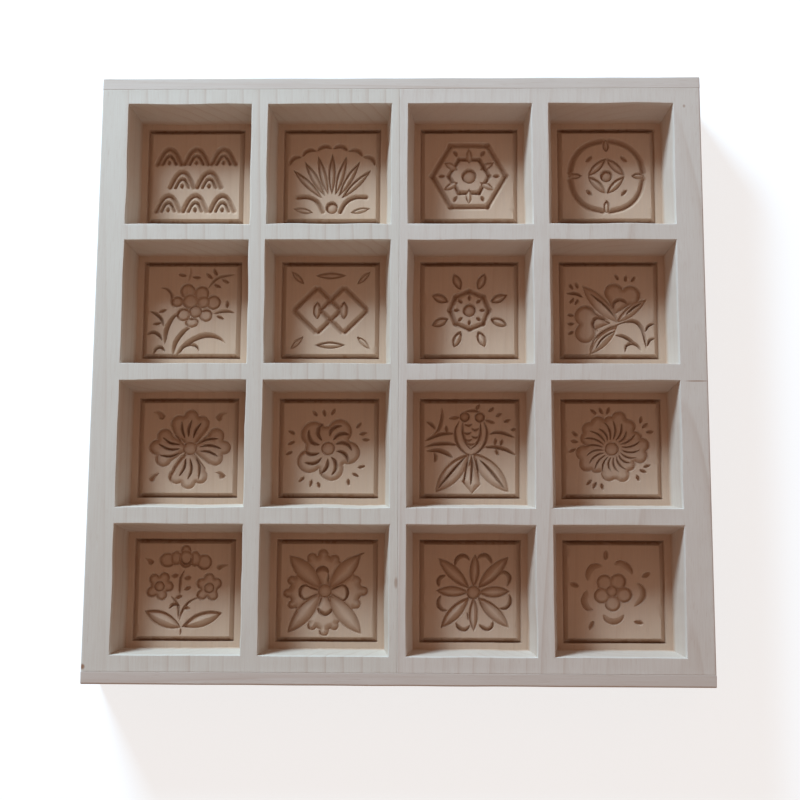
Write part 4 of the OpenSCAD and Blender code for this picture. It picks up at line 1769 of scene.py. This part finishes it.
def along_grain(share: float) -> Spot:
    """Give the factors that shorten a place along the grain only."""
    return (1.0, share, 1.0)


def grain_group() -> bpy.types.NodeTree:
    """Build the group that gives wood its rings, fibres and pores, with the grain along Y.

    Returns:
        The group, made once.
    """
    known = bpy.data.node_groups.get("wood_grain")
    if known:
        return known
    tree = bpy.data.node_groups.new("wood_grain", "ShaderNodeTree")
    tree.interface.new_socket("Vector", in_out="INPUT", socket_type="NodeSocketVector")
    for name, value in (("Rings per Metre", 230.0), ("Wander", 0.012), ("Fibres per Metre", 1500.0)):
        socket = tree.interface.new_socket(name, in_out="INPUT", socket_type="NodeSocketFloat")
        socket.default_value = value
    for name in ("Rings", "Fibre", "Pores", "Height"):
        tree.interface.new_socket(name, in_out="OUTPUT", socket_type="NodeSocketFloat")
    wiring = Wiring(tree)
    given = tree.nodes.new("NodeGroupInput").outputs
    drawn = wiring.vector("MULTIPLY", given["Vector"], along_grain(RING_DRAW))
    wander = wiring.node("ShaderNodeTexNoise", {"Vector": drawn, "Scale": WANDER_SCALE}).outputs["Color"]
    pushed = wiring.scaled(wiring.vector("SUBTRACT", wander, HALF), given["Wander"])
    moved = wiring.vector("ADD", given["Vector"], pushed)
    reach = wiring.length(wiring.vector("MULTIPLY", moved, along_grain(0.0)))
    phase = wiring.math("FRACT", wiring.math("MULTIPLY", reach, given["Rings per Metre"]), 0.0)
    late = wiring.math("POWER", phase, LATE_WOOD)
    early = wiring.span(phase, 0.0, EARLY_WOOD, 1.0, 0.0)
    patch = wiring.span(wiring.noise(drawn, PATCH_SCALE, 1.0), *PATCH_RANGE, PATCH_LEAST, 1.0)
    rings = wiring.math("MULTIPLY", wiring.math("MAXIMUM", late, early), patch)
    stretched = wiring.vector("MULTIPLY", given["Vector"], along_grain(FIBRE_DRAW))
    fibre = wiring.noise(wiring.scaled(stretched, given["Fibres per Metre"]), 1.0, 3.0, FIBRE_ROUGHNESS)
    short = wiring.vector("MULTIPLY", given["Vector"], along_grain(PORE_DRAW))
    pores = wiring.span(wiring.noise(short, PORES_PER_METRE, 1.0), *PORE_RANGE)
    raised = wiring.math("MULTIPLY", fibre, FIBRE_HEIGHT)
    height = wiring.math("SUBTRACT", raised, wiring.math("MULTIPLY", pores, PORE_DEPTH))
    out = tree.nodes.new("NodeGroupOutput")
    for name, value in (("Rings", rings), ("Fibre", fibre), ("Pores", pores), ("Height", height)):
        tree.links.new(value, out.inputs[name])
    return tree


class Grain(Enum):
    """Which way the grain of a piece runs."""

    ALONG_Y = (0.0, 0.0, 0.0)
    ALONG_X = (0.0, 0.0, math.pi / 2)


@dataclass(frozen=True)
class Blemish:
    """Discoloured spot on the top face: its middle, its half-sizes and its strength."""

    x: float
    y: float
    across: float
    along: float
    strength: float
    deep: float = 4.0
    core: float = 0.35

    def share(self, wiring: Wiring, place: bpy.types.NodeSocket) -> bpy.types.NodeSocket:
        """Work out how much of the spot shows.

        Args:
            wiring: Wiring of the material.
            place: The place on the piece.

        Returns:
            The share, up to the spot's strength.
        """
        middle = (self.x * MM, self.y * MM, TOP_FACE * MM)
        size = (1 / (self.across * MM), 1 / (self.along * MM), 1 / (self.deep * MM))
        away = wiring.vector("MULTIPLY", wiring.vector("SUBTRACT", place, middle), size)
        return wiring.span(wiring.length(away), self.core, 1.0, self.strength, 0.0)


@dataclass(frozen=True)
class WoodFinish:
    """Bare wood: its colours, the lie of its grain, and how its hollows are darkened, partly by real
    staining and dirt, partly by painted shade.
    """

    name: str
    pale: Colour
    pith: Spot
    tilt: Spot = (0.0, 0.0, 0.0)
    grain: Grain = Grain.ALONG_Y
    dark: Colour = tint(178, 152, 134)
    # Colour of the hollows: partly real staining, partly painted shade
    stain: Colour = tint(192, 158, 128)
    # Colour of dirt in the carving, which also paints shade in the cuts and grooves, and colour of the
    # blemishes
    residue: Colour = tint(148, 107, 77)
    rings: float = 150.0
    ring_strength: float = 0.3
    streaks: Point = (0.35, 0.75)
    streak_strength: float = 0.1
    pore_strength: float = 0.14
    # How strongly the hollows are darkened, by real staining and painted shade together
    stain_strength: float = 0.0
    # Painted shade on the walls of a cavity: where it starts and ends by depth, and how strong it is
    wall_zone: Point = (0.03, 0.2)
    wall_stain: float = 0.4
    # Darkening of the lowest walls and the floor, partly real staining, partly painted shade: where it
    # starts and ends, and how strong it is
    foot_zone: Point = (0.75, 1.0)
    foot_stain: float = 0.6
    bands: Point = (0.35, 0.7)
    band_strength: float = 0.3
    # How strongly the carving takes dirt and painted shade
    residue_strength: float = 0.4
    fibres: Point = (0.2, 0.8)
    rough: Point = (0.56, 0.72)
    gloss: float = 0.15
    bump: float = 0.25
    bump_height: float = 0.25
    blemishes: tuple[Blemish, ...] = ()

    def material(self) -> bpy.types.Material:
        """Make the material.

        Returns:
            The material.
        """
        made = bpy.data.materials.new(self.name)
        made.use_nodes = True
        tree = made.node_tree
        wiring = Wiring(tree)
        shader = tree.nodes["Principled BSDF"]
        place = wiring.node("ShaderNodeTexCoord", {}).outputs["Object"]
        turned = wiring.node("ShaderNodeMapping", {"Vector": place, "Rotation": self.grain.value}).outputs[0]
        laid = wiring.node(
            "ShaderNodeMapping", {"Vector": turned, "Location": self.pith, "Rotation": self.tilt}
        ).outputs[0]
        grain = wiring.node("ShaderNodeGroup", {}, node_tree=grain_group())
        wiring.feed(grain.inputs["Vector"], laid)
        wiring.feed(grain.inputs["Rings per Metre"], self.rings)
        rings, fibre = grain.outputs["Rings"], grain.outputs["Fibre"]
        ringed = wiring.math("MULTIPLY", rings, self.ring_strength)
        streaked = wiring.math("MULTIPLY", wiring.span(fibre, *self.streaks), self.streak_strength)
        porous = wiring.math("MULTIPLY", grain.outputs["Pores"], self.pore_strength)
        colour: object = self.pale
        for share in (ringed, streaked, porous):
            colour = wiring.mix(share, colour, self.dark)
        for blemish in self.blemishes:
            colour = wiring.mix(blemish.share(wiring, place), colour, self.residue)
        # The hollows get real staining and painted shade, and the carving gets dirt and painted shade
        if self.stain_strength:
            banded = wiring.span(fibre, *self.bands, 0.0, self.band_strength)
            stain = wiring.mix(wiring.math("MAXIMUM", ringed, banded), self.stain, self.dark)
            colour = self.used(wiring, colour, stain)
        wiring.feed(shader.inputs["Base Color"], colour)
        wiring.feed(shader.inputs["Roughness"], wiring.span(fibre, *self.fibres, *self.rough))
        shader.inputs["Specular IOR Level"].default_value = self.gloss
        bumps = {"Height": grain.outputs["Height"], "Strength": self.bump, "Distance": self.bump_height * MM}
        wiring.feed(shader.inputs["Normal"], wiring.node("ShaderNodeBump", bumps).outputs[0])
        return made

    def used(self, wiring: Wiring, bare: object, stain: object) -> bpy.types.NodeSocket:
        """Darken the cavities and what is carved: real staining and dirt, together with painted shade on the
        walls, the floors, the cuts and the grooves.

        Args:
            wiring: Wiring of the material.
            bare: Colour of the bare wood.
            stain: Colour of the wood in the hollows, real staining with painted shade in it.

        Returns:
            The colour with the hollows darkened, partly by real staining and dirt, partly by painted shade.
        """
        hollow = wiring.attribute("hollow")
        # Painted shade: every wall of a cavity darker from just under its rim down
        walls = wiring.span(hollow, *self.wall_zone, 0.0, self.wall_stain * self.stain_strength)
        # Partly real staining, partly painted shade: the lowest walls and the floor darker still
        foot = wiring.span(hollow, *self.foot_zone, 0.0, self.foot_stain * self.stain_strength)
        stained_and_shaded = wiring.mix(wiring.math("ADD", walls, foot), bare, stain)
        # Dirt and painted shade: what is carved is darker the deeper it lies
        left = wiring.math("MULTIPLY", wiring.attribute("cut"), self.residue_strength)
        return wiring.mix(left, stained_and_shaded, self.residue)


# Stage, light and camera


@dataclass(frozen=True)
class Studio:
    """Floor, light and camera."""

    camera_at: Vector = Vector((0.0147, -0.1129, 0.6925))
    forward: Vector = Vector((-0.021, 0.149, -0.989))
    right: Vector = Vector((1.0, 0.005, -0.021))
    focal_px: float = 1368.0
    image_px: float = 800.0
    sensor_mm: float = 36.0
    key_from: Vector = Vector((-0.452, 0.77, 0.455))
    key_distance: float = 1.4
    key_size: float = 0.37
    key_power: float = 20.6
    key_colour: Spot = (0.76, 1.0, 1.15)
    fill_colour: Colour = (1.0, 0.57, 0.38, 1.0)
    fill_level: float = 0.32
    floor_reach: float = 4.0
    floor_colour: Colour = (0.42, 0.5, 0.58, 1.0)
    floor_rough: float = 0.9
    floor_glow: float = 0.74

    def place_camera(self) -> None:
        """Set the camera at the photograph's viewing angle."""
        data = bpy.data.cameras.new("camera")
        data.sensor_width = self.sensor_mm
        data.lens = self.focal_px * self.sensor_mm / self.image_px
        ahead = self.forward.normalized()
        right = (self.right - ahead * self.right.dot(ahead)).normalized()
        up = right.cross(ahead)
        turn = Matrix((right, up, -ahead)).transposed().to_4x4()
        camera = bpy.data.objects.new("camera", data)
        camera.matrix_world = Matrix.Translation(self.camera_at) @ turn
        bpy.context.scene.collection.objects.link(camera)
        bpy.context.scene.camera = camera

    def background_rays(self, wiring: Wiring) -> bpy.types.NodeSocket:
        """Tell the rays that show the background: those of the camera, of gloss and of glass.

        Args:
            wiring: Wiring of the world or of a material.

        Returns:
            1 for these rays, otherwise 0.
        """
        rays = wiring.node("ShaderNodeLightPath", {}).outputs
        mirrored = wiring.math("MAXIMUM", rays["Is Glossy Ray"], rays["Is Transmission Ray"])
        return wiring.math("MAXIMUM", rays["Is Camera Ray"], mirrored)

    def light(self) -> None:
        """Hang a large soft lamp and set the light all round."""
        data = bpy.data.lights.new("key", "AREA")
        data.shape = "SQUARE"
        data.size = self.key_size
        data.energy = self.key_power
        data.color = self.key_colour
        lamp = bpy.data.objects.new("key", data)
        towards = self.key_from.normalized()
        lamp.location = towards * self.key_distance
        lamp.rotation_euler = towards.to_track_quat("Z", "Y").to_euler()
        bpy.context.scene.collection.objects.link(lamp)
        world = bpy.data.worlds.new("studio")
        world.use_nodes = True
        sky = world.node_tree.nodes["Background"]
        wiring = Wiring(world.node_tree)
        seen = self.background_rays(wiring)
        wiring.feed(sky.inputs["Color"], wiring.mix(seen, self.fill_colour, WHITE))
        wiring.feed(sky.inputs["Strength"], wiring.span(seen, 0.0, 1.0, self.fill_level, 1.0))
        bpy.context.scene.world = world

    def lay_floor(self) -> None:
        """Lay a plain white floor that keeps the object's shadow."""
        mesh = bpy.data.meshes.new("floor")
        half = self.floor_reach / 2
        corners = [(-half, -half, 0.0), (half, -half, 0.0), (half, half, 0.0), (-half, half, 0.0)]
        mesh.from_pydata(corners, [], [(0, 1, 2, 3)])
        floor = bpy.data.objects.new("floor", mesh)
        bpy.context.scene.collection.objects.link(floor)
        made = bpy.data.materials.new("white_floor")
        made.use_nodes = True
        tree = made.node_tree
        wiring = Wiring(tree)
        shader = tree.nodes["Principled BSDF"]
        shader.inputs["Base Color"].default_value = self.floor_colour
        shader.inputs["Roughness"].default_value = self.floor_rough
        glow = wiring.math("MULTIPLY", self.background_rays(wiring), self.floor_glow)
        shader.inputs["Emission Color"].default_value = WHITE
        wiring.feed(shader.inputs["Emission Strength"], glow)
        mesh.materials.append(made)


@dataclass
class MooncakeMould:
    """The whole mould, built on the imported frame."""

    frame: dict
    planks: tuple[str, ...] = ("left_plank", "right_plank")
    strips: tuple[str, ...] = ("head_end_strip", "foot_end_strip")
    opening_gap: float = 0.05
    plank_seed: int = 40
    plank_seeds: int = 10
    strip_seed: int = 90
    # How strongly the planks' hollows are darkened, by real staining and painted shade together
    plank_stain: float = 0.74

    def named(self, part: str) -> list[str]:
        """Give the frame's nodes whose names hold a part."""
        return sorted(name for name in self.frame["nodes"] if part in name)

    def cavities(self) -> list[Cavity]:
        """Read each cavity's place and figure from the frame's openings.

        Returns:
            The cavities.
        """
        found = []
        for opening in self.frame["record"]["physics"]["openings"]:
            low, high = (np.array(corner) / MM for corner in opening["box_m"])
            middle = (low + high) / 2
            name = opening["name"].removesuffix("_cavity")
            floor = float(round(low[2] - self.opening_gap, 3))
            found.append(Cavity(name, float(middle[0]), float(middle[1]), floor))
        return found

    def finish(self, piece: bpy.types.Object, node: str, slot: str, material: bpy.types.Material) -> None:
        """Dress a piece and put it in the place of its solid.

        Args:
            piece: The piece.
            node: Name of the solid.
            slot: Not used.
            material: The finish.
        """
        piece.data.materials.clear()
        piece.data.materials.append(material)
        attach(piece, "root")
        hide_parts(node)
        LOG.info("%s: %d faces", piece.name, len(piece.data.polygons))

    def plank_finishes(self) -> dict[str, WoodFinish]:
        """Choose the finishes of the planks.

        Returns:
            The finishes, by node.
        """
        left = WoodFinish(
            "left_plank_wood", tint(219, 220, 215), pith=(0.21, 0.0, 0.06), tilt=(0.03, 0.02, 0.0),
            stain_strength=self.plank_stain,
            blemishes=(Blemish(-0.7, -102.0, 1.3, 3.6, 0.5), Blemish(-149.3, -142.0, 1.6, 1.8, 0.9)),
        )
        right = WoodFinish(
            "right_plank_wood", tint(220, 219, 215), pith=(-0.13, 0.0, 0.02), tilt=(0.05, -0.03, 0.0),
            stain_strength=self.plank_stain,
            blemishes=(Blemish(144.5, -4.4, 7.5, 0.42, 0.75), Blemish(141.9, 134.8, 0.9, 1.1, 0.5)),
        )
        return dict(zip(self.planks, (left, right)))

    def build(self) -> None:
        """Build and dress every piece."""
        cavities = self.cavities()
        dowels = [bore_of(name) for name in self.named("seam_dowel")]
        pins = {name: bore_of(name) for name in self.named("strip_pin")}
        finishes = self.plank_finishes()
        for i, node in enumerate(self.planks):
            low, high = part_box(node)
            own = [c for c in cavities if low.x < c.x * MM < high.x]
            bores = dowels + [b for b in pins.values() if low.x < b.start.x < high.x]
            piece = Plank(node, own, bores, self.plank_seed + self.plank_seeds * i).build()
            self.finish(piece, node, "plank_wood", finishes[node].material())
        strip_wood = WoodFinish(
            "strip_wood", tint(216, 213, 209), pith=(0.0, 0.0, 0.1), tilt=(0.02, 0.0, 0.0),
            grain=Grain.ALONG_X,
        ).material()
        for i, node in enumerate(self.strips):
            end = node.split("_")[0]
            bores = [b for name, b in pins.items() if name.startswith(end)]
            piece = EndStrip(node, bores, self.strip_seed + i).build()
            self.finish(piece, node, "strip_wood", strip_wood)
        self.dress_joinery()

    def dress_joinery(self) -> None:
        """Give the dowels and pins, which keep their solids, their finishes."""
        dowel_wood = WoodFinish(
            "dowel_wood", tint(190, 150, 105), pith=(0.0, 0.0, 0.05), grain=Grain.ALONG_X,
            dark=tint(150, 105, 65),
        )
        pin_bamboo = WoodFinish(
            "pin_bamboo", tint(205, 175, 120), pith=(0.0, 0.0, 0.03), dark=tint(160, 122, 70), rings=900.0
        )
        for part, finish in (("seam_dowel", dowel_wood), ("strip_pin", pin_bamboo)):
            material = finish.material()
            for name in self.named(part):
                mesh = self.frame["nodes"][name].data
                mesh.materials.clear()
                mesh.materials.append(material)
                LOG.info("%s: finished", name)


def main() -> None:
    logging.basicConfig(level=logging.INFO, format="%(name)s: %(message)s")
    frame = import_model()
    bpy.context.scene.view_settings.view_transform = "Standard"
    studio = Studio()
    studio.place_camera()
    MooncakeMould(frame).build()
    studio.light()
    studio.lay_floor()


if __name__ == "__main__":
    main()
